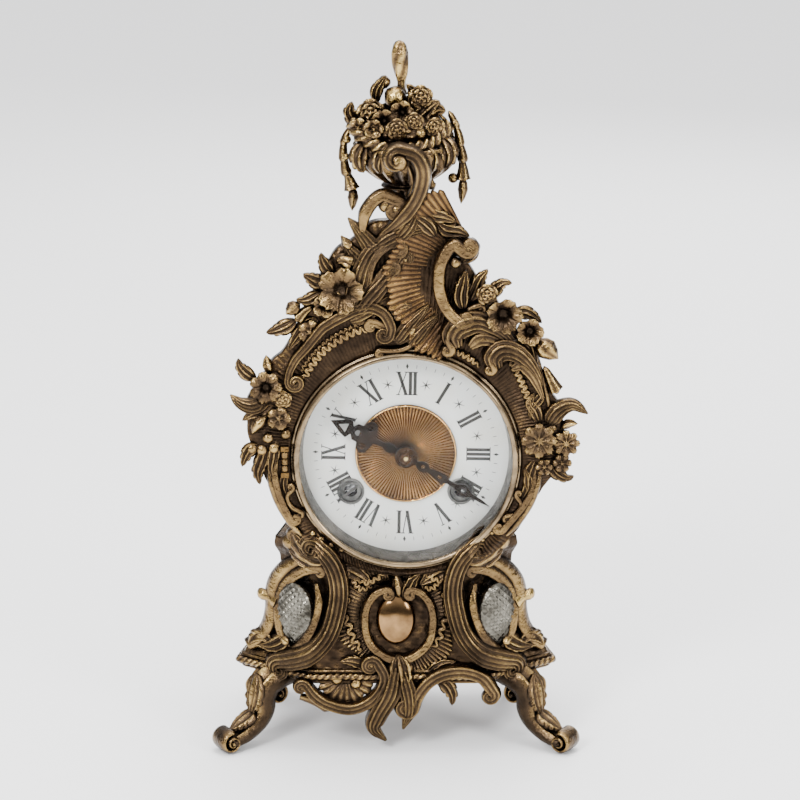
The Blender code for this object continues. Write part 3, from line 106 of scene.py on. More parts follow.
def loft(rings, tone=None, hoop=False):
    # closed sections one after another; the two end sections are drawn in to a point, or joined up as a hoop
    n, m = rings.shape[:2]
    tone = np.full((n, m), 0.6) if tone is None else np.broadcast_to(tone, (n, m))
    index = np.arange(n * m).reshape(n, m)
    rows = np.vstack([index, index[:1]]) if hoop else index
    turned = np.roll(rows, -1, axis=1)
    quads = np.stack([rows[:-1], turned[:-1], turned[1:], rows[1:]], -1).reshape(-1, 4)
    points, tones = rings.reshape(-1, 3), tone.reshape(-1)
    if not hoop:
        turned = np.roll(index, -1, axis=1)
        first = np.stack([np.full(m, n * m), turned[0], index[0], index[0]], -1)
        last = np.stack([np.full(m, n * m + 1), index[-1], turned[-1], turned[-1]], -1)
        points = np.vstack([points, rings[0].mean(0), rings[-1].mean(0)])
        tones = np.concatenate([tones, [tone[0].mean(), tone[-1].mean()]])
        quads = np.vstack([quads, first, last])
    return points, quads, tones


def band(points, width=6, height=3, lift=0, reeds=0, taper=(0.5, 0.5), startCurl=None, endCurl=None,
         groove=0.0, eye=0.42, count=64, around=18, wiggle=None, shape=None):
    # a half-round or reeded section carried along a path: across is cos(a), outward is sin(a) with reeds on it;
    # wiggle sways the path (how far, how often) and shape gives its width along it in place of taper
    path = smoothPath(points, count)
    if wiggle:
        sway = wiggle[0] * np.sin(tau * wiggle[1] * np.linspace(0, 1, count))
        path = path + sideways(path) * sway[:, None]
    if startCurl:
        path = withCurl(path, startCurl, True)
    if endCurl:
        path = withCurl(path, endCurl)
    n = len(path)
    t = np.linspace(0, 1, n)
    along = shape if shape else ((0, taper[0]), (0.22, 1), (0.78, 1), (1, taper[1]))
    thin = np.interp(t, [p[0] for p in along], [p[1] for p in along])[:, None]
    a = np.linspace(0, tau, max(around, 8 * reeds), endpoint=False)[None, :]
    across, out = np.sign(np.cos(a)) * np.abs(np.cos(a))**0.85, np.sin(a)
    wave = np.cos(tau * reeds * across / 2) if reeds else np.zeros_like(a)
    front = np.clip(out, 0, 1)
    dip = 1 - groove * np.exp(-(across / 0.33)**2)
    up = height * thin * np.where(out > 0, out * dip * (1 + 0.27 * wave), out * 0.35)
    rings = path[:, None, :] + sideways(path)[:, None, :] * (across * thin * width / 2)[:, :, None]
    rings = rings + np.stack([0 * up, 0 * up, up + lift], -1)
    # lighter on the outward half and the reed crests, dark on the back half: painted light and painted shade;
    # darker along the groove
    tone = 0.14 + 0.64 * front * dip + 0.26 * wave * front
    skins = [loft(rings, tone)]
    for curl, end in ((startCurl, path[0]), (endCurl, path[-1])):
        if curl and eye:
            skins += ball([end[0], end[1], end[2] + lift + height * 0.3], curl[0] * eye)
    return skins


def ball(at, r=3, flat=0.8, seams=0, lift=0, count=10, around=16):
    # an ellipsoid, with shallow seams running from pole to pole when wanted
    at = list(at) + [0.0] * (3 - len(at))
    s = np.linspace(0, math.pi, count)[:, None]
    a = np.linspace(0, tau, around, endpoint=False)[None, :]
    wave = 1 + (0.1 * np.abs(np.cos(seams * a / 2)) if seams else 0)
    ring = np.sin(s) * r * wave
    rings = np.stack([at[0] + ring * np.cos(a), at[1] + ring * np.sin(a),
                      at[2] + lift + r * flat * np.cos(s) + 0 * a], -1)
    # lighter at the top pole and dark at the bottom one: painted light and painted shade
    return [loft(rings, 0.45 + 0.5 * np.cos(s) * np.ones_like(a))]


def leaf(points, width=12, height=2.6, lobes=4, notch=0.24, slant=0.42, curl=2.2, lift=0, widest=0.42,
         flutes=1.5,
         count=40, across=24):
    # a plume along a mid rib: its flutes leave the rib at a long slant, so the edge lies further along
    # than one on the rib, and the edge is cut in rounded lobes that point forward; the tip curls outward
    path = smoothPath(points, 60)
    length = np.linalg.norm(np.diff(path, axis=0), axis=1).sum()
    t = np.linspace(0, 1, count)[:, None]
    v = np.linspace(-1, 1, across)[None, :]
    power = math.log(0.5) / math.log(widest)
    lobe = np.abs(np.sin(math.pi * lobes * t))**0.6
    along = t + (1 - t) * slant * np.clip(t / 0.25, 0, 1) * np.abs(v)**1.2 + 0.05 * (lobe - 0.6) * np.abs(v)**3
    bump = np.sin(math.pi * np.clip(along, 0, 1)**power)**0.75 + 0.12 * (1 - t)
    half = width / 2 * bump * (1 - notch * (1 - lobe) * v**2)
    step = np.clip(along, 0, 1.1) * 59
    grid = np.stack([np.interp(np.minimum(step, 59), np.arange(60), path[:, i]) for i in range(3)], -1)
    beyond = np.maximum(step - 59, 0)[:, :, None] * length / 59
    tail = (path[-1] - path[-4]) / np.linalg.norm(path[-1] - path[-4])
    side = sideways(path)
    left = np.stack([np.interp(np.minimum(step, 59), np.arange(60), side[:, i]) for i in range(3)], -1)
    grid = grid + beyond * tail + left * (v * half)[:, :, None]
    flute = np.cos(tau * flutes * np.abs(v)) * np.clip(bump, 0, 1)
    frill = np.cos(tau * lobes * t) * np.abs(v)**3
    up = height * (0.55 * np.clip(bump, 0, 1) * (1 - 0.6 * v**2) + 0.20 * flute - 0.12 * frill) + curl * t**2.2
    top = grid + np.stack([0 * up, 0 * up, up + lift + 0.6], -1)
    low = grid + np.stack([0 * up, 0 * up, up * 0.6 + lift - 1.0], -1)
    rings = np.concatenate([top, low[:, -2:0:-1]], axis=1)
    # flute crests lighter than their valleys; the underside is set dark, painted shade
    tone = np.clip(0.40 + 0.36 * flute + 0.16 * v**2 + 0.16 * t, 0.05, 1)
    return [loft(rings, np.concatenate([tone, 0.1 + 0 * tone[:, -2:0:-1]], axis=1))]


def flower(at, r=8, petals=6, height=3, cup=0.5, eye=0.26, hollow=False, lift=0, turn=0.0, notch=0.3,
           tilt=(0, 0),
           rings=16, around=72):
    # petals on a polar grid: the rim radius dips between petals, and each petal rises along its middle
    at = list(at) + [0.0] * (3 - len(at))
    s = np.linspace(0.02, 1, rings)[:, None]
    a = np.linspace(0, tau, around, endpoint=False)[None, :]
    petal = np.abs(np.cos(petals * (a - turn) / 2))
    frill = min(1.0, (r / 10)**2)
    rim = r * (1 - notch + notch * petal**0.42) * (1 + 0.035 * frill * np.cos(4 * petals * a) * s**3)
    shape = np.sin(math.pi * np.clip(s * 0.92, 0, 1)) * (1 - cup) + cup * s**1.5
    up = height * (shape + 0.30 * petal**1.5 * np.sin(math.pi * s) - 0.18 * np.exp(-(petal / 0.22)**2) * s)
    ruffle = np.cos(4 * petals * (a - turn)) * s**1.5 + np.cos(2 * petals * a + 1) * s**3
    up = up + height * frill * 0.10 * ruffle
    centre = np.exp(-(s / eye)**4)
    up = up * (1 - centre) + centre * height * (-0.1 if hollow else 0.95)
    top = np.stack([s * rim * np.cos(a), s * rim * np.sin(a), up], -1)
    low = np.stack([s * rim * np.cos(a), s * rim * np.sin(a), up - 0.9 - height * 0.35 * (1 - s)], -1)[::-1]
    # an open cup is set dark in its middle, painted shade in the hollow; a closed middle is set lighter; the
    # underside is set dark, painted shade
    tone = 0.3 + 0.4 * petal * s + 0.3 * s**4 + centre * (-0.5 if hollow else 0.4)
    skin = np.concatenate([top, low])
    skin = skin @ tipped(*tilt).T + np.array([at[0], at[1], at[2] + lift + 1.0])
    return [loft(skin, np.concatenate([np.clip(tone, 0, 1), 0.1 + 0 * tone]))]


def rose(at, r=8, height=5, lift=0, tilt=(0, 0)):
    # whorls of cupped petals, each smaller, higher and turned half a petal on from the one below, round a bud
    layers, petals, skins = 3, 5, []
    for k in range(layers):
        size = 1 - 0.27 * k
        skins += flower(at, r * size, petals, height * (0.75 - 0.1 * k), 0.75, 0.5, False,
                        lift + height * 0.24 * k, math.pi / petals * k + 0.4, 0.2, tilt, 10, 50)
    at = list(at) + [0.0] * (3 - len(at))
    top = tipped(*tilt) @ np.array([0, 0, height * 0.24 * layers])
    return skins + ball([at[0] + top[0], at[1] + top[1], at[2] + top[2] + lift + height * 0.15], r * 0.22, 1.1,
                        3)


def tipped(up, left):
    # a turn that tips a piece's face upwards and to the left, in degrees
    p, q = math.radians(up), math.radians(left)
    rx = np.array([[1, 0, 0], [0, math.cos(p), math.sin(p)], [0, -math.sin(p), math.cos(p)]])
    ry = np.array([[math.cos(q), 0, -math.sin(q)], [0, 1, 0], [math.sin(q), 0, math.cos(q)]])
    return ry @ rx


def turnedBud(points, profile=((0, 0.1), (0.25, 0.8), (0.5, 1), (0.8, 0.6), (1, 0.05)), width=6,
              flutes=0, deep=0.14, lift=0, twist=0.0, count=26, around=24):
    # a turned profile carried along a curved axis, with flutes; width is its largest diameter
    path = smoothPath(points, count)
    path[:, 2] += lift
    t = np.linspace(0, 1, count)
    prof = np.asarray(profile, float)
    r = width / 2 * np.interp(t, prof[:, 0], prof[:, 1])[:, None]
    a = np.linspace(0, tau, around, endpoint=False)[None, :]
    wave = np.abs(np.cos(flutes * (a + twist * t[:, None]) / 2)) if flutes else np.ones((count, around))
    r = r * (1 - deep + deep * wave)
    ahead = np.gradient(path, axis=0)
    ahead /= np.linalg.norm(ahead, axis=1)[:, None]
    side = np.cross(ahead, [0.0, 0.0, 1.0])
    side /= np.linalg.norm(side, axis=1)[:, None] + 1e-9
    up = np.cross(side, ahead)
    rings = path[:, None] + side[:, None] * (r * np.cos(a))[:, :, None]
    rings = rings + up[:, None] * (r * np.sin(a))[:, :, None]
    # lighter on flute crests, and lighter on the half turned outward than on the back half: painted light and
    # painted shade
    return [loft(rings, 0.2 + 0.55 * wave + 0.2 * np.sin(a))]


def bellflower(points, width=10, flutes=6, lift=0):
    # a husk that opens out to its mouth, with a small ball set at the mouth
    p = np.asarray(points, float)
    p = np.column_stack([p, np.zeros(len(p))]) if p.shape[1] == 2 else p
    husk = ((0, 0.12), (0.15, 0.45), (0.45, 0.62), (0.8, 0.82), (1, 1.0))
    outside = turnedBud(p, husk, width, flutes, 0.2, lift)
    heart = p[-1] + (p[-1] - p[-2]) / np.linalg.norm(p[-1] - p[-2]) * width * 0.05
    return outside + ball([heart[0], heart[1], heart[2] + lift + 0.3], width * 0.2)


def fan(hub, inner, outer, spread, ribs=20, height=5, edge=0.05, lift=0, dish=0.5, ridge=0.8, rows=16):
    # a ribbed shell: angle runs round the hub and radius from inner to outer, each rib a wave across the angle
    steps = ribs * 8
    u = np.linspace(0, 1, steps + 1)[:, None]
    v = np.linspace(0, 1, rows)[None, :]
    a = np.radians(spread[0] + (spread[1] - spread[0]) * u)
    wave = np.abs(np.sin(math.pi * ribs * u))
    grow = 1 + edge * wave * v**3 + edge * 1.6 * np.sin(math.pi * u * 7.3)**2 * np.sin(u * 31) * v**2
    r = (inner + (outer - inner) * v) * grow
    arch = dish * np.sin(math.pi * v * 0.85 + 0.2) + (1 - dish) * v**2
    up = height * arch * (0.55 + 0.45 * np.sin(math.pi * u)**0.4) + ridge * (wave - 0.6) * (0.25 + v)
    top = np.stack([hub[0] + r * np.cos(a), hub[1] + r * np.sin(a), up + lift], -1)
    low = top - np.array([0, 0, 1.6]) - np.stack([0 * up, 0 * up, 0.4 * up], -1)
    # rib crests and the outer edge lighter; the underside is set dark, painted shade
    tone = np.clip(0.12 + 0.62 * wave + 0.25 * v**3, 0, 1)
    return [loft(np.concatenate([top, low[:, -2:0:-1]], 1),
                 np.concatenate([tone, 0.1 + 0 * tone[:, -2:0:-1]], 1))]


def rope(points, r=2, pitch=4.0, strands=2, depth=0.2, lift=0, around=12):
    # a round section whose radius carries strands that wind along the path
    path = smoothPath(points, 40)
    length = np.linalg.norm(np.diff(path, axis=0), axis=1).sum()
    path = smoothPath(points, int(length / pitch * 7) + 8)
    s = np.linspace(0, length, len(path))[:, None]
    a = np.linspace(0, tau, around, endpoint=False)[None, :]
    wave = np.abs(np.cos(strands * a / 2 - math.pi * s / pitch))
    radius = r * (1 - depth + depth * 1.6 * wave)
    ahead = np.gradient(path, axis=0)
    ahead /= np.linalg.norm(ahead, axis=1)[:, None]
    side = np.cross(ahead, [0.0, 0.0, 1.0])
    side /= np.linalg.norm(side, axis=1)[:, None] + 1e-9
    up = np.cross(side, ahead)
    rings = path[:, None] + side[:, None] * (radius * np.cos(a))[:, :, None] \
        + up[:, None] * (radius * np.sin(a))[:, :, None]
    rings[:, :, 2] += lift
    return [loft(rings, 0.1 + 0.8 * wave + 0 * a)]


def revolve(profile, steps):
    # a closed profile of (radius, depth along -y) turned round the dial's axis, as a hoop
    p = np.asarray(profile, float)
    a = np.linspace(0, tau, steps, endpoint=False)[:, None]
    r = p[None, :, 0]
    rings = np.stack([r * np.cos(a), r * np.sin(a), p[None, :, 1] + 0 * a], -1)
    return [loft(rings, 0.7, hoop=True)]


def roundedProfile(profile, parts=4, keep=0.25):
    # corners cut by quadratic curves, each from a quarter of one side to a quarter of the next
    p = np.asarray(profile, float)
    before, after = np.roll(p, 1, 0), np.roll(p, -1, 0)
    f = np.linspace(0, 1, parts)[None, :, None]
    start, end = p + (before - p) * keep, p + (after - p) * keep
    curve = start[:, None] * (1 - f)**2 + 2 * f * (1 - f) * p[:, None] + end[:, None] * f**2
    return curve.reshape(-1, 2)


# ---- placing skins and making meshes
def onFront(skins, y=castingFront, at=dialAxis):
    # panel millimetres to metres: right, up, and outward towards -y
    return [(np.column_stack([at[0] + p[:, 0] / 1000, y - p[:, 2] / 1000, at[1] + p[:, 1] / 1000]), q, t)
            for p, q, t in skins]


def onPanel(skins, origin, right, up, out):
    # the same on a panel that faces any way
    basis = np.array([right, up, out], float)
    basis /= np.linalg.norm(basis, axis=1)[:, None]
    return [(np.asarray(origin) + p / 1000 @ basis, q, t) for p, q, t in skins]


def makePiece(name, body, skins, material, hides=(), smooth=True):
    # welds each skin's doubled points, turns its faces outward and puts all of them in one mesh
    allPoints, allQuads, allTris, allTones, start = [], [], [], [], 0
    for points, quads, tone in skins:
        _, first, back = np.unique(np.round(points, 6), axis=0, return_index=True, return_inverse=True)
        points, tone, quads = points[first], np.asarray(tone)[first], back.reshape(-1)[quads]
        middle = points - points.mean(0)
        a, b, c, d = (middle[quads[:, i]] for i in range(4))
        volume = (a * np.cross(b, c)).sum() + (a * np.cross(c, d)).sum()
        if volume < 0:
            quads = quads[:, ::-1]
        same = quads == np.roll(quads, -1, axis=1)
        doubles = same.sum(1)
        tris = quads[doubles == 1]
        at = same[doubles == 1].argmax(1)
        corner = (at[:, None] + np.arange(1, 4)) % 4
        tris = np.take_along_axis(tris, corner, 1)
        tris = tris[(tris[:, 0] != tris[:, 1]) & (tris[:, 1] != tris[:, 2]) & (tris[:, 0] != tris[:, 2])]
        quads = quads[doubles == 0]
        crossed = (quads[:, 0] == quads[:, 2]) | (quads[:, 1] == quads[:, 3])
        allPoints.append(points)
        allTones.append(tone)
        allQuads.append(quads[~crossed] + start)
        allTris.append(tris + start)
        start += len(points)
    mesh = bpy.data.meshes.new(name)
    faces = np.vstack(allQuads).tolist() + np.vstack(allTris).tolist()
    mesh.from_pydata(np.vstack(allPoints).tolist(), [], faces)
    # tone is a per-point lightness that castBrass turns into colour: patina in grooves, and in places painted
    # light on faces turned outward and painted shade on backs and undersides
    mesh.attributes.new("tone", "FLOAT", "POINT").data.foreach_set(
        "value", np.clip(np.concatenate(allTones), 0, 1).astype(np.float32))
    mesh.polygons.foreach_set("use_smooth", np.full(len(faces), smooth))
    mesh.validate()
    piece = bpy.data.objects.new(name, mesh)
    bpy.context.scene.collection.objects.link(piece)
    mesh.materials.append(material)
    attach(piece, body)
    if hides:
        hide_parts(*hides)
    print("made", name, len(faces), "faces")
    return piece


# ---- finishes
def addNode(tree, kind, links=None, **settings):
    # a node with its settings; links gives input name or number to a socket or a plain value
    made = tree.nodes.new(kind)
    for key, value in settings.items():
        setattr(made, key, value)
    for key, value in (links or {}).items():
        if isinstance(value, bpy.types.NodeSocket):
            tree.links.new(value, made.inputs[key])
        else:
            made.inputs[key].default_value = value
    return made


def mathNode(tree, operation, a, b=0.0, clamp=False):
    return addNode(tree, "ShaderNodeMath", {0: a, 1: b}, operation=operation, use_clamp=clamp).outputs[0]


def rampNode(tree, value, stops):
    made = addNode(tree, "ShaderNodeValToRGB", {0: value})
    while len(made.color_ramp.elements) < len(stops):
        made.color_ramp.elements.new(0.5)
    for element, (place, colour) in zip(made.color_ramp.elements, stops):
        element.position = place
        element.color = (*colour, 1)
    return made.outputs[0]


def newMaterial(name):
    material = bpy.data.materials.new(name)
    material.use_nodes = True
    tree = material.node_tree
    tree.nodes.clear()
    shader = addNode(tree, "ShaderNodeBsdfPrincipled")
    addNode(tree, "ShaderNodeOutputMaterial", {0: shader.outputs[0]})
    place = addNode(tree, "ShaderNodeTexCoord").outputs["Object"]
    return material, tree, shader, place


brassLook = {
    "reach": 0.0045,          # how far the ambient-occlusion darkening, patina together with painted shade, reaches out of the hollows, in metres
    "toneShare": 0.75,
    "patches": 55.0,          # size of the patina patches, per metre
    "grain": 900.0,
    "lumps": 240.0,           # unevenness of the cast skin, per metre
    "pits": 0.40,
    # colour by the darkening value: the dark end is patina together with painted shade, the light end bare gilt
    # brass
    "stops": ((0.0, (0.022, 0.015, 0.010)), (0.30, (0.052, 0.034, 0.020)), (0.52, (0.122, 0.076, 0.035)),
              (0.70, (0.29, 0.188, 0.070)), (0.86, (0.60, 0.42, 0.145)), (1.0, (0.94, 0.73, 0.33))),
    "rough": (0.38, 0.08),
}


def castBrass(name, tint=(1, 1, 1), bright=0.0, useTone=True):
    # old gilt brass: dark where ambient occlusion finds hollows and gaps between pieces and where the tone
    # attribute is low, which is patina together with painted shade; light where the tone is high, on what is
    # rubbed and on faces turned outward, which is wear together with painted light
    look = brassLook
    material, tree, shader, place = newMaterial(name)
    # ambient occlusion darkens hollows, undercuts and the gaps between touching pieces: painted shade, on top
    # of the patina such brass keeps in its recesses
    hollow = addNode(tree, "ShaderNodeAmbientOcclusion", {"Distance": look["reach"]}, samples=6).outputs["AO"]
    patches = addNode(tree, "ShaderNodeTexNoise", {"Vector": place, "Scale": look["patches"], "Detail": 5.0,
                                                   "Roughness": 0.62}).outputs[0]
    grain = addNode(tree, "ShaderNodeTexNoise", {"Vector": place, "Scale": look["grain"], "Detail": 3.0,
                                                 "Roughness": 0.6}).outputs[0]
    aoShadeFactor = mathNode(tree, "POWER", hollow, 1.6)
    # the tone attribute lightens raised, outward-facing parts and darkens backs and undersides: partly rubbed
    # wear and patina, partly painted light and painted shade
    if useTone:
        tone = addNode(tree, "ShaderNodeAttribute", attribute_name="tone").outputs["Fac"]
        raised = mathNode(tree, "MULTIPLY_ADD", tone, look["toneShare"])
        raised.node.inputs[2].default_value = 0.88 - look["toneShare"] + bright
    else:
        raised = addNode(tree, "ShaderNodeMath", {0: 0.0, 1: 0.72 + bright}, operation="ADD").outputs[0]
    value = mathNode(tree, "MULTIPLY", aoShadeFactor, raised)
    value = mathNode(tree, "ADD", value, mathNode(tree, "MULTIPLY", mathNode(tree, "SUBTRACT", patches, 0.5),
                                                  0.8))
    value = mathNode(tree, "ADD", value, mathNode(tree, "MULTIPLY", mathNode(tree, "SUBTRACT", grain, 0.5),
                                                  0.22),
                     True)
    colour = rampNode(tree, value, look["stops"])
    if tint != (1, 1, 1):
        colour = addNode(tree, "ShaderNodeMix", {0: 1.0, 6: colour, 7: (*tint, 1)}, data_type="RGBA",
                         blend_type="MULTIPLY").outputs[2]
    tree.links.new(colour, shader.inputs["Base Color"])
    shader.inputs["Metallic"].default_value = 1.0
    rough = mathNode(tree, "MULTIPLY_ADD", mathNode(tree, "SUBTRACT", grain, 0.5), 0.25)
    rough.node.inputs[2].default_value = 0.3
    mapped = addNode(tree, "ShaderNodeMapRange", {0: value, 3: look["rough"][0] - 0.3,
                                                  4: look["rough"][1] - 0.3})
    rough = mathNode(tree, "ADD", rough, mapped.outputs[0], True)
    tree.links.new(rough, shader.inputs["Roughness"])
    lumps = addNode(tree, "ShaderNodeTexNoise", {"Vector": place, "Scale": look["lumps"],
                                                 "Detail": 3.0}).outputs[0]
    uneven = mathNode(tree, "ADD", lumps, mathNode(tree, "MULTIPLY", grain, 0.3))
    bump = addNode(tree, "ShaderNodeBump", {"Height": uneven, "Strength": look["pits"], "Distance": 0.0022})
    tree.links.new(bump.outputs[0], shader.inputs["Normal"])
    return material


def workedMetal(name, low, high, rough=0.3, scale=400.0, stretch=(1, 1, 1), bumpy=0.08, aoCornerShade=0.5):
    # turned, brushed or polished metal: colour wanders between two tones and is darkened a little in corners
    # and gaps by ambient occlusion, which is painted shade
    material, tree, shader, place = newMaterial(name)
    spread = addNode(tree, "ShaderNodeMapping", {0: place, 3: stretch}).outputs[0]
    lines = addNode(tree, "ShaderNodeTexNoise", {"Vector": spread, "Scale": scale, "Detail": 4.0}).outputs[0]
    cloud = addNode(tree, "ShaderNodeTexNoise", {"Vector": place, "Scale": 70.0, "Detail": 3.0}).outputs[0]
    # ambient occlusion paints shade into corners and gaps; the last argument sets how strongly
    hollow = addNode(tree, "ShaderNodeAmbientOcclusion", {"Distance": 0.003}, samples=4).outputs["AO"]
    mixed = mathNode(tree, "ADD", mathNode(tree, "MULTIPLY", cloud, 0.7),
                     mathNode(tree, "MULTIPLY", lines, 0.3))
    mixed = addNode(tree, "ShaderNodeMapRange", {0: mixed, 1: 0.35, 2: 0.65}).outputs[0]
    shade = mathNode(tree, "MULTIPLY_ADD", hollow, aoCornerShade)
    shade.node.inputs[2].default_value = 1 - aoCornerShade
    colour = rampNode(tree, mathNode(tree, "MULTIPLY", mixed, shade), ((0.0, low), (1.0, high)))
    tree.links.new(colour, shader.inputs["Base Color"])
    shader.inputs["Metallic"].default_value = 1.0
    tree.links.new(addNode(tree, "ShaderNodeMapRange",
                           {0: lines, 1: 0.3, 2: 0.7, 3: rough * 1.35, 4: rough * 0.7}
                           ).outputs[0], shader.inputs["Roughness"])
    bump = addNode(tree, "ShaderNodeBump", {"Height": lines, "Strength": bumpy, "Distance": 0.0002})
    tree.links.new(bump.outputs[0], shader.inputs["Normal"])
    return material


def glassLook(name):
    # clear domed glass: what is behind shows through, and its gloss follows the angle of view
    material, tree, shader, place = newMaterial(name)
    out = shader.outputs[0].links[0].to_node
    tree.nodes.remove(shader)
    clear = addNode(tree, "ShaderNodeBsdfTransparent", {0: (0.97, 0.975, 0.97, 1)})
    specks = addNode(tree, "ShaderNodeTexNoise", {"Vector": place, "Scale": 60.0}).outputs[0]
    rough = addNode(tree, "ShaderNodeMapRange", {0: specks, 3: 0.015, 4: 0.05}).outputs[0]
    gloss = addNode(tree, "ShaderNodeBsdfGlossy", {"Color": (1, 1, 1, 1), "Roughness": rough})
    edge = addNode(tree, "ShaderNodeLayerWeight", {0: 0.5}).outputs["Facing"]
    share = mathNode(tree, "MULTIPLY_ADD", mathNode(tree, "POWER", edge, 4.0), 0.40)
    share.node.inputs[2].default_value = 0.008
    both = addNode(tree, "ShaderNodeMixShader", {0: share, 1: clear.outputs[0], 2: gloss.outputs[0]})
    tree.links.new(both.outputs[0], out.inputs[0])
    return material


def enamelLook(name, colour=(0.77, 0.775, 0.76), dark=False):
    # fired enamel: a soft gloss with a faint ripple and slight toning
    material, tree, shader, place = newMaterial(name)
    cloud = addNode(tree, "ShaderNodeTexNoise", {"Vector": place, "Scale": 38.0, "Detail": 4.0}).outputs[0]
    warm = tuple(c * k for c, k in zip(colour, (0.93, 0.90, 0.83))) if not dark else (0.03, 0.025, 0.02)
    tree.links.new(rampNode(tree, cloud, ((0.30, warm), (0.62, colour))), shader.inputs["Base Color"])
    shader.inputs["Roughness"].default_value = 0.3 if not dark else 0.4
    shader.inputs["Coat Weight"].default_value = 0.0 if dark else 0.4
    ripple = addNode(tree, "ShaderNodeTexNoise", {"Vector": place, "Scale": 150.0, "Detail": 1.0}).outputs[0]
    bump = addNode(tree, "ShaderNodeBump", {"Height": ripple, "Strength": 0.05, "Distance": 0.0003})
    tree.links.new(bump.outputs[0], shader.inputs["Normal"])
    return material


brass = castBrass("oldGiltBrass", bright=-0.07)
darkBrass = castBrass("dullCastBrass", tint=(0.62, 0.55, 0.47), bright=-0.12, useTone=False)
frontGround = castBrass("recessedBrass", tint=(0.80, 0.77, 0.76), bright=-0.20)
shellBrass = castBrass("ribbedShellBrass", tint=(0.90, 0.80, 0.72), bright=-0.18)
# where eight values are given, the last is how strongly ambient occlusion paints shade into corners
silverPanel = workedMetal("latticePanelSilver", (0.030, 0.026, 0.020), (0.25, 0.235, 0.195), 0.30, 300.0,
                          (1, 1, 1), 0.1, 0.95)
bezelGold = workedMetal("bezelBronze", (0.10, 0.072, 0.044), (0.35, 0.255, 0.145), 0.24, 160.0, (1, 1, 1),
                        0.06, 0.8)
ovalCopper = workedMetal("polishedOvalCopper", (0.07, 0.038, 0.018), (0.34, 0.20, 0.085), 0.13, 120.0,
                         (1, 1, 1), 0.08, 0.85)
movementBrass = workedMetal("brushedPlateBrass", (0.50, 0.33, 0.12), (0.83, 0.61, 0.28), 0.32, 420.0,
                            (1, 1, 0.06))
copperGilt = castBrass("engineTurnedCopper", tint=(0.80, 0.60, 0.50), bright=0.14)
steelBright = workedMetal("polishedSteel", (0.36, 0.36, 0.37), (0.62, 0.62, 0.63), 0.24, 500.0, (0.05, 1, 1))
steelBlued = workedMetal("bluedSteel", (0.008, 0.006, 0.005), (0.026, 0.017, 0.013), 0.5, 300.0)
sightNickel = workedMetal("dulledNickel", (0.05, 0.045, 0.042), (0.17, 0.155, 0.14), 0.3, 200.0, (1, 1, 1),
                          0.05, 0.8)
gromGrey = workedMetal("greyGrommet", (0.06, 0.06, 0.06), (0.22, 0.215, 0.20), 0.45, 300.0)
clearGlass = glassLook("domedGlass")
whiteEnamel = enamelLook("dialEnamel")
blackEnamel = enamelLook("numeralBlack", (0.022, 0.020, 0.020), True)
print("finishes made")


# ---- the ornamental front, in mm from the dial's middle: right, up
frontGroundSizes = {
    "inner": 66.5, "plateHeight": 1.6, "backDepth": 7.6, "steps": 1150, "rows": 22,
    "ribs": 230, "ribHeight": 1.5,
    # angle from the right in degrees, and how far out the pierced ground reaches
    "reach": ((-60, 72), (-48, 76), (-30, 77), (-15, 78), (-5, 86), (5, 92), (20, 94), (33, 92), (45, 96),
              (57, 104),
              (67, 112), (74, 122), (81, 136), (86, 140),
              (92, 142), (98, 141), (104, 135), (110, 126), (116, 116), (122, 108), (128, 100), (137, 95),
              (150, 97), (160, 98), (170, 92), (182, 84), (193, 79), (206, 77), (220, 76), (232, 73), (240, 72),
              (262, 70.5), (285, 70.5), (300, 72)),
}


def groundSkin(s):
    # a plate round the bezel: radius runs from the bezel to the reach, with ribs that fade in and out round it
    a = np.linspace(0, tau, s["steps"], endpoint=False)[:, None]
    v = np.linspace(0, 1, s["rows"])[None, :]
    spots = np.array(s["reach"], float)
    angle = np.degrees(a[:, 0])
    reach = np.interp((angle + 60) % 360 - 60, spots[:, 0], spots[:, 1])
    reach = np.convolve(np.concatenate([reach[-16:], reach, reach[:16]]), np.ones(33) / 33, "valid")[:, None]
    ragged = 1 + 0.012 * np.sin(41 * a) * v + 0.015 * np.sin(23 * a + 1) * v
    r = s["inner"] + (reach - s["inner"]) * v * ragged
    wave = np.abs(np.cos(s["ribs"] / 2 * (a + 0.05 * np.sin(4 * a) * v)))
    fade = 0.35 + 0.65 * np.clip(0.5 + 0.9 * np.sin(5 * a + 0.09 * r), 0, 1)
    rough = np.sin(r * 0.9 + 6 * np.sin(5 * a)) * np.sin(37 * a + r * 0.35)
    swell = np.sin(math.pi * np.clip(v * 1.15, 0, 1))
    height = s["plateHeight"] + s["ribHeight"] * fade * (wave - 0.5) * swell + 0.5 * rough * v
    height = height + 1.6 * np.exp(-((v - 0.5) / 0.35)**2)
    top = np.stack([r * np.cos(a), r * np.sin(a), height + 0 * a], -1)
    low = top[:, [-1, 0]] * (1, 1, 0) - (0, 0, s["backDepth"])
    # rib crests and the outer edge lighter; the back of the plate is set dark, painted shade
    tone = np.clip(0.10 + 0.55 * wave * fade + 0.1 * rough + 0.45 * v**8, 0, 1)
    return [loft(np.concatenate([top, low], 1), np.concatenate([tone, 0 * tone[:, :2]], 1), hoop=True)]


makePiece("frontGround", "case", onFront(groundSkin(frontGroundSizes)), frontGround,
          hides=["front_casting"])

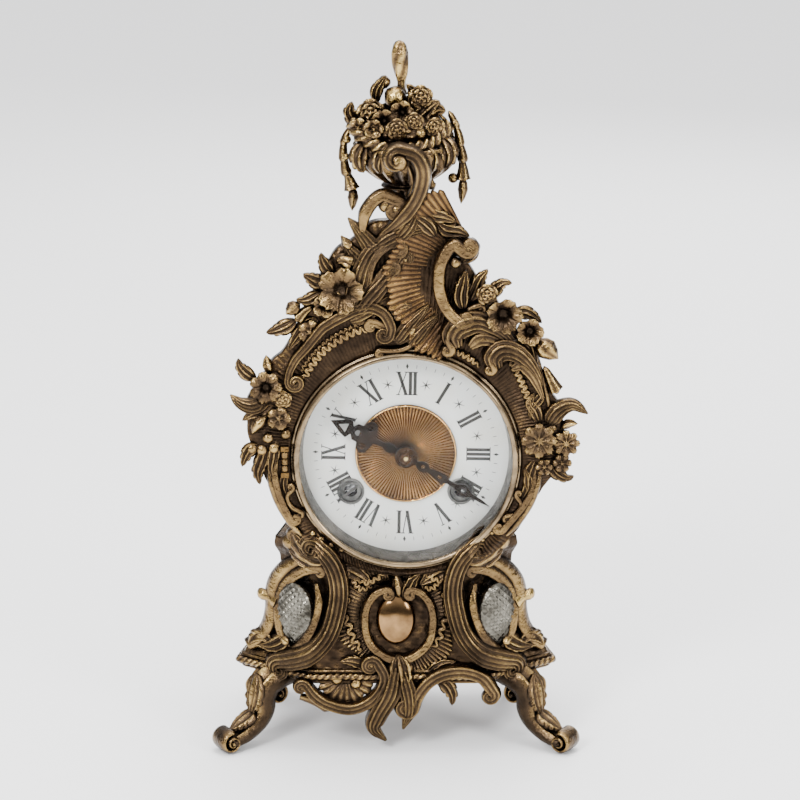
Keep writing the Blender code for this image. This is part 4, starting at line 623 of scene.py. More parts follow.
# each row is a shape, its place or path (right, up, and out when a third is given), the sizes in its columns
# and whatever else it sets
columns = {band: ("width", "height", "lift"), leaf: ("width", "height", "lift", "lobes"), ball: ("r", "lift"),
           rose: ("r", "height", "lift"), flower: ("r", "petals", "height", "lift"),
           turnedBud: ("width", "lift"), bellflower: ("width", "lift"),
           fan: ("inner", "outer", "spread", "ribs", "height", "lift"),
           rope: ("r", "pitch", "strands")}
plume = ((0, 0.5), (0.14, 0.95), (0.32, 1.0), (0.6, 0.74), (0.85, 0.4), (1, 0.08))
neckOrnament = [
    (band, [(-3.4, 184.6, 13), (5.6, 181.2, 12.5), (9.5, 172.0, 11), (7.8, 160.6, 8), (2.8, 150.2, 5),
            (-5.7, 140.4, 4), (-15.2, 132.3, 3)], (9.6, 6, 0),
            dict(reeds=3, startCurl=(5.6, 0.7, 1), taper=(0.95, 0.4), eye=1.0)),
    (leaf, [(-1.2, 182.3, 9), (4.4, 176.6, 9), (7.3, 167.5, 7.5), (4.5, 156.0, 6), (-2.3, 146.7, 4)],
     (11, 3.4, 0, 3), dict(widest=0.35)),
    (band, [(-5.7, 131.7), (1.1, 139.8), (5.0, 147.9), (8.4, 157.1)], (12, 5, 3.4), dict(reeds=5, shape=plume)),
    (band, [(-16.9, 127.1), (-7.9, 132.9), (1.1, 136.3), (10.1, 137.5)], (12, 5, 3),
     dict(reeds=5, shape=plume, endCurl=(2.2, 0.8, 1))),
    (turnedBud, [(15.7, 159.4), (14.0, 162.9), (14.5, 166.3)], (6, 3)),
    (band, [(-24.8, 135.2), (-22.5, 147.3), (-14.1, 156.5), (-4.5, 153.7)], (8, 5, 3),
     dict(groove=0.4, endCurl=(5.4, 1.1, -1))),
    (band, [(-20.3, 128.2), (-12.4, 132.9), (-3.4, 138.7), (-1.2, 149.1)], (5, 3.6, 2.6), dict(reeds=3)),
    (ball, (10.4, 152.5), (3.6, 3)),
    (leaf, [(6.7, 150.2), (14.0, 145.6), (21.4, 143.9), (28.1, 141.6)], (10, 3, 2.2, 3)),
    (leaf, [(18.0, 139.8), (23.1, 136.3), (30.4, 135.2), (36.0, 132.9)], (9, 3, 2.2, 3)),
    (band, [(-14.7, 121.3), (-20.3, 128.2), (-25.9, 135.2), (-32.7, 143.3)], (12, 4.4, 2),
     dict(reeds=5, shape=plume)),
    (band, [(-18.1, 111.9), (-24.9, 117.8), (-31.6, 124.8), (-36.6, 132.9)], (12, 4.4, 2),
     dict(reeds=5, shape=plume)),
    (ball, (-11.3, 150.8), (4.6, 2.4)),
]
leftSpray = [
    (turnedBud, [(-30.5, 124.8), (-32.7, 128.2), (-35.5, 132.9)], (6, 4), dict(flutes=3)),
    (bellflower, [(-39.5, 117.8), (-36.1, 119.5), (-31.1, 117.8)], (13, 4)),
    (leaf, [(-44.7, 107.3), (-49.8, 106.7), (-54.3, 109.0), (-58.2, 111.4)], (9, 3, 3.5, 3)),
    (leaf, [(-41.3, 109.6), (-45.2, 115.4), (-47.4, 120.1), (-48.0, 123.6)], (8, 2.6, 3, 3)),
    (flower, (-36.2, 102.0), (13.5, 5, 6.5, 4.5), dict(eye=0.3, hollow=True, notch=0.34, cup=0.85,
                                                       tilt=(8, 10))),
    (band, [(-25.5, 97.9), (-22.1, 105.5), (-20.4, 114.3), (-16.9, 121.8), (-10.2, 127.7), (-4.5, 128.8)],
     (6.5, 4.6, 3.5), dict(groove=0.5, endCurl=(3.6, 1.1, -1), taper=(0.4, 0.7))),
    (band, [(-23.2, 95.6), (-18.1, 104.9), (-13.6, 111.9), (-9.0, 116.6)], (6, 4.2, 4.2),
     dict(groove=0.5, endCurl=(2.8, 1.0, -1), taper=(0.4, 0.7))),
    (band, [(-31.8, 88.5), (-28.3, 101.4), (-24.9, 114.3), (-19.2, 124.8), (-11.3, 129.4)], (14, 6, 2.6),
     dict(reeds=5, shape=plume, endCurl=(3.2, 0.9, -1))),
    (band, [(-29.5, 85.0), (-22.7, 95.6), (-14.7, 104.9), (-7.9, 113.1), (-2.3, 121.3)], (14, 6, 2.6),
     dict(reeds=5, shape=plume, endCurl=(3.0, 0.9, -1))),
    (band, [(-31.8, 83.8), (-21.5, 89.7), (-11.3, 95.6), (-2.3, 101.4)], (13, 5, 2),
     dict(reeds=5, shape=plume)),
    (bellflower, [(-52.1, 92.1), (-56.7, 89.7), (-61.3, 85.0)], (9, 3.5)),
    (turnedBud, [(-60.1, 94.4), (-63.5, 91.5), (-68.1, 87.4)], (9, 3.6), dict(flutes=5)),
    (leaf, [(-62.4, 83.8), (-68.1, 80.3), (-73.8, 78.0), (-79.5, 76.8)], (9, 3, 2.4, 3)),
    (leaf, [(-47.6, 100.3), (-53.2, 96.8), (-57.8, 95.6), (-62.3, 96.2)], (8, 2.6, 2.6, 3)),
    (flower, (-45.9, 93.2), (7, 5, 5, 3), dict(eye=0.3, hollow=True, cup=0.8)),
    (flower, (-54.5, 77.4), (7, 5, 3.4, 2.6)),
    (leaf, [(-49.9, 85.0), (-56.8, 80.3), (-62.5, 73.3), (-67.1, 66.2)], (9, 3, 1.8, 4)),
]
shellCrest = [
    (fan, (45.2, 110.2), (22, 55, (116, 243), 36, 6, 2.2), dict(dish=-0.1, ridge=0.7, edge=0.035, rows=22)),
    (band, [(32.7, 124.8), (26.5, 128.8), (21.4, 122.4), (18.6, 113.1), (19.2, 101.4), (23.2, 91.5),
            (30.7, 83.3)], (8, 5.6, 6.6), dict(startCurl=(4.0, 1.1, 1), endCurl=(3.8, 1.0, 1), groove=0.3)),
    (ball, (27.7, 118.4), (3.6, 6)),
    (leaf, [(32.3, 90.9), (31.1, 99.1), (32.2, 106.1), (33.9, 114.3)], (10, 4, 6, 4)),
    (leaf, [(31.6, 117.8), (36.1, 123.6), (38.3, 128.2), (37.2, 132.9)], (9, 3, 4.5, 3)),
    (leaf, [(16.9, 132.9), (12.4, 138.7), (6.7, 143.3), (1.1, 145.6)], (9, 3, 4, 3)),
    (leaf, [(36.3, 95.6), (39.6, 102.6), (41.8, 108.4), (46.3, 114.3)], (9, 3, 4, 4)),
]
dialScrollsLeft = [
    (band, [(-9.1, 75.6), (-8.5, 80.9), (-12.5, 88.5), (-19.8, 92.1), (-28.3, 90.9), (-35.7, 87.4),
            (-42.0, 83.8), (-47.7, 79.7), (-52.9, 73.3), (-58.0, 66.8), (-62.6, 61.4), (-66.1, 54.3),
            (-67.3, 48.4)], (8, 5.6, 2.8), dict(reeds=3, startCurl=(3.6, 0.9, -1), endCurl=(4.4, 1.0, 1),
                                                count=110,
                                                shape=((0, 0.7), (0.2, 1), (0.45, 1.1), (0.8, 0.7), (1, 0.8)))),
    (band, [(-58.2, 49.6), (-53.5, 57.9), (-46.6, 66.2), (-37.5, 72.7), (-28.4, 77.4), (-18.2, 79.7)],
     (3.6, 3.4, 2.4), dict(count=130, wiggle=(1.5, 13), taper=(0.7, 0.7))),
    (band, [(-60.4, 53.1), (-54.6, 61.4), (-47.8, 69.1), (-38.6, 75.6), (-29.5, 79.7), (-20.4, 82.1)],
     (2.6, 2.4, 2.2), dict(count=130, wiggle=(1.0, 17))),
    (band, [(-18.2, 83.3), (-12.5, 80.3), (-7.9, 75.6), (-1.1, 72.1)], (6, 4, 3.6),
     dict(groove=0.4, startCurl=(3, 0.9, 1))),
    (ball, (2.8, 78.0), (4.4, 4)),
    (leaf, [(-30.6, 88.5), (-37.4, 95.6), (-43.0, 97.9), (-48.7, 95.6)], (10, 3, 3, 4)),
    (band, [(-5.7, 70.9), (1.1, 80.3), (7.9, 87.4), (13.6, 93.2)], (11, 5, 3), dict(reeds=5, shape=plume)),
    (band, [(2.3, 69.7), (8.0, 76.8), (13.6, 82.7), (19.3, 87.4)], (10, 4.6, 3), dict(reeds=5, shape=plume)),
    (leaf, [(-12.5, 83.8), (-5.7, 89.7), (-1.1, 92.1), (3.4, 93.2)], (9, 3, 3.4, 3)),
    (band, [(13.6, 78.0), (8.0, 74.4), (2.3, 69.1), (-4.5, 66.2), (-14.8, 66.2)], (4, 3, 2.6),
     dict(endCurl=(2.2, 1.0, 1))),
]
rightSpray = [
    (rose, (45.9, 100.3), (6.4, 6, 5)),
    (flower, (55.0, 88.5), (10.6, 5, 7, 4), dict(eye=0.34, hollow=True, cup=0.9, notch=0.26, tilt=(-6, -6))),
    (band, [(34.0, 85.0), (36.3, 90.9), (41.9, 93.2)], (4.5, 3.4, 4), dict(endCurl=(2.6, 1.0, -1))),
    (flower, (70.4, 78.0), (8, 5, 5.5, 3), dict(eye=0.34, hollow=True, cup=0.85, notch=0.26)),
    (turnedBud, [(73.9, 73.3), (79.7, 67.4), (86.6, 61.4)], (13, 4.5), dict(flutes=6, deep=0.1)),
    (bellflower, [(78.6, 56.7), (82.2, 49.6), (85.7, 42.5)], (9, 3.4)),
    (band, [(64.7, 82.7), (71.7, 69.1), (77.0, 53.1), (81.2, 36.5), (83.6, 22.2)], (3, 2.4, 1.8)),
    (band, [(28.5, 68.5), (26.7, 75.6), (31.2, 81.5), (40.9, 83.8), (51.1, 79.1), (59.1, 72.1), (65.5, 64.4)],
     (17, 7, 4), dict(reeds=5, shape=plume, count=90, around=30)),
    (band, [(36.4, 68.5), (42.1, 73.3), (50.0, 72.1), (56.9, 66.2), (61.5, 59.1)], (10, 5, 3.4),
     dict(reeds=3, shape=plume)),
    (band, [(51.9, 56.1), (50.1, 62.6), (55.2, 67.4), (63.8, 65.0), (71.8, 56.7), (78.2, 45.4)], (15, 6.4, 4),
     dict(reeds=5, shape=plume, count=90, around=30)),
    (band, [(60.4, 55.5), (66.1, 57.9), (71.9, 52.0), (76.5, 42.5), (78.9, 35.3)], (9, 4.6, 3),
     dict(reeds=3, shape=plume)),
    (band, [(56.4, 63.8), (61.6, 56.7), (66.2, 47.2), (69.7, 37.7), (72.7, 28.1)], (3.4, 3.2, 2.2),
     dict(count=110, wiggle=(1.4, 11), taper=(0.7, 0.7))),
    (band, [(18.2, 68.5), (26.2, 66.2), (34.2, 62.6), (42.2, 56.7)], (3, 2.8, 2.2),
     dict(count=90, wiggle=(1.1, 8))),
    (band, [(35.2, 83.8), (28.4, 80.3), (23.9, 74.4), (26.2, 68.5)], (6, 4.6, 5),
     dict(startCurl=(3, 1.0, -1), endCurl=(3, 1.0, -1))),
    (band, [(60.3, 68.5), (53.5, 67.4), (48.4, 62.6), (50.2, 56.7)], (5.6, 4.4, 5),
     dict(startCurl=(2.6, 1.0, -1), endCurl=(2.6, 1.0, -1))),
    (leaf, [(60.1, 86.2), (66.9, 88.5), (72.6, 86.2), (77.2, 82.7)], (8, 3, 2.6, 3)),
    (leaf, [(64.8, 75.6), (70.5, 70.9), (72.9, 63.8), (74.1, 57.9)], (8, 2.6, 2.6, 3)),
    (leaf, [(79.4, 41.3), (75.5, 36.5), (72.1, 31.7), (71.0, 25.8)], (7, 2.6, 2, 3)),
    (leaf, [(47.6, 95.6), (50.9, 102.6), (55.4, 106.1), (60.0, 106.1)], (8, 2.8, 3.4, 3)),
]
leftCluster = [
    (turnedBud, [(-76.4, 52.0), (-78.6, 56.7), (-79.7, 63.2)], (7, 2.8), dict(flutes=5)),
    (flower, (-79.9, 44.8), (9.6, 7, 4.2, 3.4), dict(hollow=True, eye=0.3)),
    (band, [(-81.1, 35.3), (-88.0, 32.9), (-94.9, 34.7), (-100.5, 39.5)], (11, 4.4, 2.2),
     dict(reeds=5, shape=plume)),
    (leaf, [(-85.5, 48.4), (-90.6, 52.0), (-94.6, 56.7), (-95.6, 61.4)], (8, 2.6, 2.2, 3)),
    (flower, (-72.7, 26.4), (7, 5, 3.6, 3.4)),
    (turnedBud, [(-78.9, 28.1), (-84.7, 22.2), (-88.2, 16.2)], (9, 3), dict(flutes=4)),
    (ball, (-82.6, 6.6), (3.6, 2.4)),
    (ball, (-88.3, 7.2), (3.4, 2)),
    (ball, (-75.7, 7.8), (3.6, 2.6)),
    (ball, (-79.1, 13.8), (3.4, 2.8)),
    (leaf, [(-83.7, 9.0), (-89.5, 6.6), (-92.4, 1.8), (-94.2, -3.1)], (8, 2.6, 1.6, 3)),
    (leaf, [(-80.3, 7.8), (-82.7, 0.5), (-85.1, -6.7), (-84.0, -13.9)], (9, 2.8, 1.8, 4)),
    (leaf, [(-74.5, 12.6), (-75.8, 3.0), (-77.0, -4.3), (-75.9, -11.5)], (8, 2.8, 2, 4)),
    (leaf, [(-76.6, 35.3), (-82.3, 30.5), (-88.1, 28.1), (-93.8, 24.6)], (8, 2.6, 1.8, 3)),
    (rose, (-70.3, 37.7), (5.4, 4, 3)),
    (ball, (-68.7, 16.2), (3.4, 2.8)),
]
rightCluster = [
    (band, [(81.4, 22.2), (87.0, 30.5), (95.5, 33.5), (104.2, 28.1)], (12, 5, 2.2), dict(reeds=5, shape=plume)),
    (flower, (76.3, 13.2), (10.5, 8, 4, 3.6), dict(notch=0.4, eye=0.3)),
    (flower, (91.8, 11.4), (8, 8, 3.6, 3), dict(notch=0.4, eye=0.3)),
    (flower, (89.7, -0.7), (5.6, 6, 3, 2.6)),
    (flower, (79.4, -3.1), (5, 6, 3, 2.6)),
    (leaf, [(76.8, 22.2), (74.4, 29.3), (70.9, 35.3), (73.1, 41.3)], (8, 2.8, 2.4, 3)),
    (leaf, [(82.8, 0.5), (86.3, -6.7), (92.1, -10.3), (96.7, -9.1)], (8, 2.6, 1.6, 3)),
    (leaf, [(74.7, 0.5), (71.4, -6.7), (70.3, -13.9), (71.5, -18.8)], (8, 2.6, 1.6, 3)),
    (turnedBud, [(88.3, 18.6), (92.8, 22.2), (98.5, 22.2)], (6, 2.4), dict(flutes=4)),
    (ball, (83.7, 19.8), (3.2, 3)),
]
lowerRim = [
    (band, [(-74.0, 1.8), (-75.3, -7.9), (-73.7, -17.6), (-70.3, -27.3), (-66.3, -35.8)], (5, 4, 2.2),
     dict(endCurl=(2.6, 1.1, 1), groove=0.3)),
    (band, [(-65.0, -17.0), (-68.5, -21.2), (-66.3, -27.3), (-60.5, -30.9)], (3.6, 3, 2),
     dict(startCurl=(2, 1, 1), endCurl=(2, 1, -1))),
    (ball, (-53.7, -43.7), (1.8, 3)),
    (ball, (-49.1, -47.4), (1.8, 3)),
    (ball, (-43.3, -51.0), (1.8, 3)),
    (ball, (-37.6, -53.8), (1.8, 3)),
    (band, [(-79.3, -4.3), (-77.1, -15.1), (-73.2, -26.1), (-66.9, -37.0), (-60.1, -45.5)], (4.6, 4, 1.4)),
    (band, [(74.2, -7.9), (73.2, -16.4), (69.2, -24.8), (63.0, -33.3), (55.6, -41.9)], (5, 4, 2.2),
     dict(endCurl=(2.6, 1.1, -1), groove=0.3)),
    (band, [(63.4, -21.2), (66.4, -26.1), (63.0, -32.1), (57.8, -33.3)], (3.6, 3, 2),
     dict(startCurl=(2, 1, -1), endCurl=(2, 1, 1))),
    (ball, (49.8, -43.1), (1.8, 3)),
    (ball, (44.0, -47.4), (1.8, 3)),
    (ball, (37.7, -51.0), (1.8, 3)),
    (band, [(77.7, -5.5), (75.5, -15.1), (71.6, -26.1), (64.8, -37.0), (57.9, -45.5)], (4.6, 4, 1.4)),
    (leaf, [(-66.8, -23.6), (-70.2, -16.4), (-70.1, -10.3), (-67.8, -4.3)], (7, 2.4, 1.8, 3)),
    (leaf, [(66.9, -23.6), (70.3, -16.4), (70.2, -10.3), (67.9, -4.3)], (7, 2.4, 1.8, 3)),
]


def built(rows):
    skins = []
    for shape, where, sizes, *more in rows:
        skins += shape(where, **dict(zip(columns[shape], sizes)), **(more[0] if more else {}))
    return skins


makePiece("ribbedShell", "case", onFront(built(shellCrest[:1])), shellBrass)
for name, rows in (("neckScrolls", neckOrnament), ("leftSpray", leftSpray), ("shellCrest", shellCrest[1:]),
                   ("dialScrolls", dialScrollsLeft), ("rightSpray", rightSpray), ("leftCluster", leftCluster),
                   ("rightCluster", rightCluster), ("lowerRim", lowerRim)):
    makePiece(name, "case", onFront(built(rows)), brass)


# ---- the urn, its flowers and the two strings of husks
urnLow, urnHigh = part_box("urn_bowl")
urnMiddle = ((urnLow.x + urnHigh.x) / 2, (urnLow.y + urnHigh.y) / 2)
urnSizes = {"lobes": 14, "lobeDepth": 0.13, "steps": 264,
            # height share and radius share of the bowl's side
            "side": ((0.0, 0.36), (0.03, 0.46), (0.07, 0.47), (0.11, 0.40), (0.14, 0.40), (0.20, 0.48),
                     (0.28, 0.58),
                     (0.38, 0.69), (0.50, 0.80), (0.64, 0.89), (0.80, 0.955), (0.92, 0.985), (0.98, 0.985),
                     (1.03, 0.98), (1.08, 0.98), (1.11, 0.96), (1.10, 0.93), (1.02, 0.86), (0.84, 0.6))}


def urnSkin(s):
    # the side profile turned about the upright axis, its radius swelling in lobes between stem and rim
    side = smoothPath([(r, h, 0) for h, r in s["side"]], 90)
    height = urnHigh.z - urnLow.z
    radius = (urnHigh.x - urnLow.x) / 2
    a = np.linspace(0, tau, s["steps"], endpoint=False)[None, :]
    h, r = side[:, 1][:, None], side[:, 0][:, None]
    outer = (np.arange(90) < 66)[:, None]
    lobed = np.clip((h - 0.14) / 0.08, 0, 1) * np.clip((1.04 - h) / 0.05, 0, 1) * outer
    wave = np.abs(np.sin(s["lobes"] * a / 2))
    cord = np.clip(1 - np.abs(h - 1.08) / 0.04, 0, 1) * outer * np.cos(44 * a)
    rr = radius * (r + s["lobeDepth"] * lobed * (wave - 0.7) + 0.012 * cord)
    rings = np.stack([urnMiddle[0] + rr * np.cos(a), urnMiddle[1] + rr * np.sin(a),
                      urnLow.z + h * height + 0 * a], -1)
    tone = 0.45 + 0.45 * lobed * (wave - 0.45) + 0.2 * cord + 0.25 * (1 - lobed) * (h > 0.88)
    return [loft(rings, np.clip(tone, 0, 1))]


stemFoot, stemHead = (0.0, 128.0, -4.0), ((urnMiddle[0] - dialAxis[0]) * 1000,
                                          (urnLow.z - dialAxis[1]) * 1000 + 1.0,
                                          (castingFront - urnMiddle[1]) * 1000)
stemBend = (stemHead[0], stemHead[1] - 7, stemHead[2])
stem = turnedBud([stemFoot, (0.0, 138.0, (stemHead[2] - 4) / 2), stemBend, stemHead],
                 ((0, 0.8), (0.35, 0.55), (0.75, 0.62), (1, 0.9)), 22, 9, 0.16, count=40, around=72)
makePiece("urnStem", "case", onFront(stem), frontGround)
makePiece("urnBowl", "case", urnSkin(urnSizes), brass, hides=["urn_bowl"])

bouquet = [
    (turnedBud, [(-2.8, 210.0), (-2.6, 219.1), (-3.4, 229.3), (-3.6, 240.7)], (10, 0),
     dict(flutes=4, deep=0.2, twist=2.6, count=60, profile=((0, 0.72), (0.1, 0.52), (0.22, 0.5), (0.36, 0.8),
                                                            (0.55, 0.94), (0.76, 1.0), (0.9, 0.86),
                                                            (0.97, 0.55), (1, 0.1)))),
    (ball, (-12.4, 216.8), (3.6, 0), dict(flat=1, seams=4)),
    (ball, (-6.2, 208.9), (6, 3), dict(flat=1, seams=5)),
    (rose, (8.4, 210.3), (7, 7, 5)),
    (rose, (-19.7, 201.4), (8.2, 8, 5)),
    (ball, (1.1, 196.3), (4.8, 10), dict(flat=1, seams=4)),
    (ball, (-7.3, 192.3), (3.8, 10), dict(flat=1)),
    (flower, (-12.4, 198.0), (7, 5, 5, 14), dict(cup=0.8, hollow=True)),
    (flower, (-2.3, 202.6), (7, 5, 5, 12), dict(cup=0.8, hollow=True)),
    (rose, (-5.1, 194.0), (6.4, 5.5, 17)),
    (rose, (4.5, 198.0), (5.6, 5, 16)),
    (flower, (-18.0, 194.0), (5.6, 5, 4.4, 16), dict(cup=0.8)),
    (leaf, [(10.1, 190.6), (12.3, 196.3), (16.8, 202.0), (22.4, 202.0)], (15, 5, 5, 4), dict(curl=3)),
    (leaf, [(4.5, 196.3), (10.1, 200.9), (14.6, 205.4), (19.1, 207.7)], (11, 4, 7, 4)),
    (band, [(18.0, 200.9), (22.5, 195.1), (21.4, 188.3), (15.8, 183.7)], (2.6, 2.2, 7),
     dict(endCurl=(2, 0.8, -1))),
    (leaf, [(-22.5, 194.0), (-28.1, 196.3), (-31.5, 200.9), (-30.4, 206.6)], (10, 3.6, 3, 3)),
    (leaf, [(2.2, 200.9), (4.5, 207.7), (3.3, 213.4), (-0.0, 216.8)], (8, 3, 4, 3)),
    (leaf, [(-15.8, 205.4), (-16.9, 210.0), (-15.7, 214.6), (-11.2, 221.4)], (7, 3, 2, 3)),
    (rose, (15.2, 194.0), (6, 6, 12), dict(tilt=(0, -20))),
    (flower, (-25.9, 193.4), (6, 5, 4, 12), dict(tilt=(0, 20))),
    (ball, (7.9, 191.1), (4, 17), dict(flat=1)),
    (ball, (-16.9, 190.6), (3.4, 17), dict(flat=1)),
    (rope, [(-30.4, 195.1, 8), (-24.8, 188.3, 16), (-15.8, 184.2, 21), (-5.7, 183.1, 23), (4.5, 183.7, 22),
            (14.6, 186.0, 18), (23.6, 194.0, 8)], (3.6, 5, 3), dict(depth=0.34, around=20)),
    (leaf, [(-22.6, 186.0, 17), (-25.9, 180.2, 20), (-26.0, 174.5, 20), (-23.7, 168.7, 16)], (11, 3, 0, 3)),
    (leaf, [(19.1, 188.3, 14), (23.1, 182.5, 19), (23.7, 176.8, 19), (21.4, 171.0, 15)], (11, 3, 0, 3)),
    (leaf, [(-12.4, 183.7, 21), (-14.7, 177.9, 24), (-15.3, 173.3, 22), (-14.1, 168.7, 19)], (9, 3, 0, 3)),
    (leaf, [(10.1, 183.7, 20), (13.5, 179.1, 23), (13.5, 173.3, 22), (12.4, 167.5, 19)], (9, 3, 0, 3)),
]
around = [(math.radians(a), r, h, k) for k, (a, r, h) in enumerate(
    [(20, 19, 9), (52, 17, 13), (88, 18, 10), (122, 16, 14), (158, 19, 9), (196, 20, 8), (344, 20, 8),
     (70, 9, 20), (110, 9, 20), (30, 9, 22), (150, 9, 21), (270, 8, 18), (0, 22, 5), (180, 22, 5),
     (90, 22, 5)])]


def bouquetSkins():
    # the flowers seen from the front, a grainy mound under them, and more flowers that fill its sides and back
    base = np.array([urnMiddle[0], urnMiddle[1], urnHigh.z])
    s = np.linspace(0, 1, 40)[:, None]
    a = np.linspace(0, tau, 120, endpoint=False)[None, :]
    bumps = np.abs(np.sin(9 * a + 4 * s) * np.sin(17 * s + 2 * np.cos(3 * a)))
    r = (0.0268 * np.sin(math.pi / 2 * np.clip(s * 1.25, 0, 1)) * np.sqrt(np.clip(1.02 - s**2.2, 0, 1))
         + 0.0026 * bumps * (s < 0.97))
    mound = np.stack([base[0] + r * np.cos(a), base[1] + r * np.sin(a), base[2] - 0.003 + 0.024 * s + 0 * a],
                     -1)
    skins = [loft(mound, 0.1 + 0.7 * bumps)]
    for turn, out, high, k in around:
        way = np.array([math.cos(turn), math.sin(turn), 0.35])
        way /= np.linalg.norm(way)
        right = np.array([-way[1], way[0], 0.0])
        right /= np.linalg.norm(right)
        shape = rose((0, 0), 6.4, 5.5) if k % 3 == 0 else flower((0, 0), 6.6, 5 + k % 2, 4) if k % 3 == 1 \
            else leaf([(0, -5), (2, 0), (1, 5), (3, 9)], 10, 3, 4)
        at = base + np.array([way[0] * out, way[1] * out, high]) / 1000
        skins += onPanel(shape, at, right, np.cross(way, right) * -1, way)
    n = 46
    turn = np.linspace(0, tau, n, endpoint=False)
    for k in range(n):   # a rope of small berries lies on the rim
        at = (base[0] + 0.0283 * math.cos(turn[k]), base[1] + 0.0283 * math.sin(turn[k]),
              base[2] + 0.0006 * (k % 3))
        skins += onPanel(ball((0, 0), 1.9, 0.9, count=6, around=8), at, (1, 0, 0), (0, 1, 0), (0, 0, 1))
    return skins


makePiece("bouquet", "case", onFront(built(bouquet), urnMiddle[1]) + bouquetSkins(), brass,
          hides=["bouquet_and_bud"])

huskProfile = ((0, 0.2), (0.2, 0.7), (0.55, 0.85), (0.85, 1.0), (1, 0.8))
dropRows = {
    "huskDropLeft": [
        (turnedBud, [(-31.0, 191.7), (-33.8, 187.1), (-35.5, 181.4)], (5, 3),
         dict(flutes=4, profile=huskProfile)),
        (turnedBud, [(-35.0, 183.7), (-35.5, 177.9), (-35.0, 172.1)], (6, 3),
         dict(flutes=4, profile=huskProfile)),
        (turnedBud, [(-35.0, 174.5), (-34.5, 168.7), (-33.3, 164.1)], (6.4, 3),
         dict(flutes=4, profile=huskProfile)),
        (bellflower, [(-33.9, 165.8), (-32.2, 161.8), (-30.6, 156.0)], (9.4, 3)),
        (turnedBud, [(-31.1, 158.3), (-30.0, 152.5), (-30.6, 143.2)], (6.4, 3), dict(flutes=4)),
        (ball, (-33.3, 184.8), (2.4, 4)),
        (ball, (-33.9, 175.0), (2.2, 4.6)),
    ],
    "huskDropRight": [
        (turnedBud, [(24.1, 200.9), (26.4, 196.3), (28.7, 190.6)], (5, 3), dict(flutes=4, profile=huskProfile)),
        (turnedBud, [(28.1, 192.3), (29.8, 186.5), (30.4, 180.8)], (6, 3), dict(flutes=4, profile=huskProfile)),
        (turnedBud, [(30.4, 182.5), (31.6, 176.8), (32.2, 171.6)], (6.4, 3),
         dict(flutes=4, profile=huskProfile)),
        (bellflower, [(31.6, 173.3), (32.2, 167.5), (32.2, 161.8)], (9, 3)),
        (turnedBud, [(32.2, 164.1), (32.2, 156.0), (31.2, 147.3)], (6, 3), dict(flutes=4)),
        (ball, (26.6, 162.3), (3, 3)),
        (ball, (27.5, 194.0), (2.4, 4)),
    ],
}
for name, node in (("huskDropLeft", "husk_drop_left"), ("huskDropRight", "husk_drop_right")):
    makePiece(name, "case", onFront(built(dropRows[name]), urnMiddle[1]), brass, hides=[node])


# ---- the base, its panels and scrolls, in mm from the base's middle and from the floor
baseSizes = {
    "outside": 0.7, "thick": 1.2, "rows": 60, "around": 360,
    # share of the height, half width, how far the front stands in from the plinth
    "spans": ((0.0, 87.4, 3.0), (0.16, 83.7, 4.0), (0.36, 74.4, 6.0), (0.62, 66.5, 8.0), (0.84, 67.4, 8.0),
              (0.93, 70.7, 6.0), (1.0, 69.8, 6.5)),
    "corner": (42.0, 29.0), "rear": 0.78, "depth": 50.0, "drum": 79.4, "drumBehind": 76.4,
}


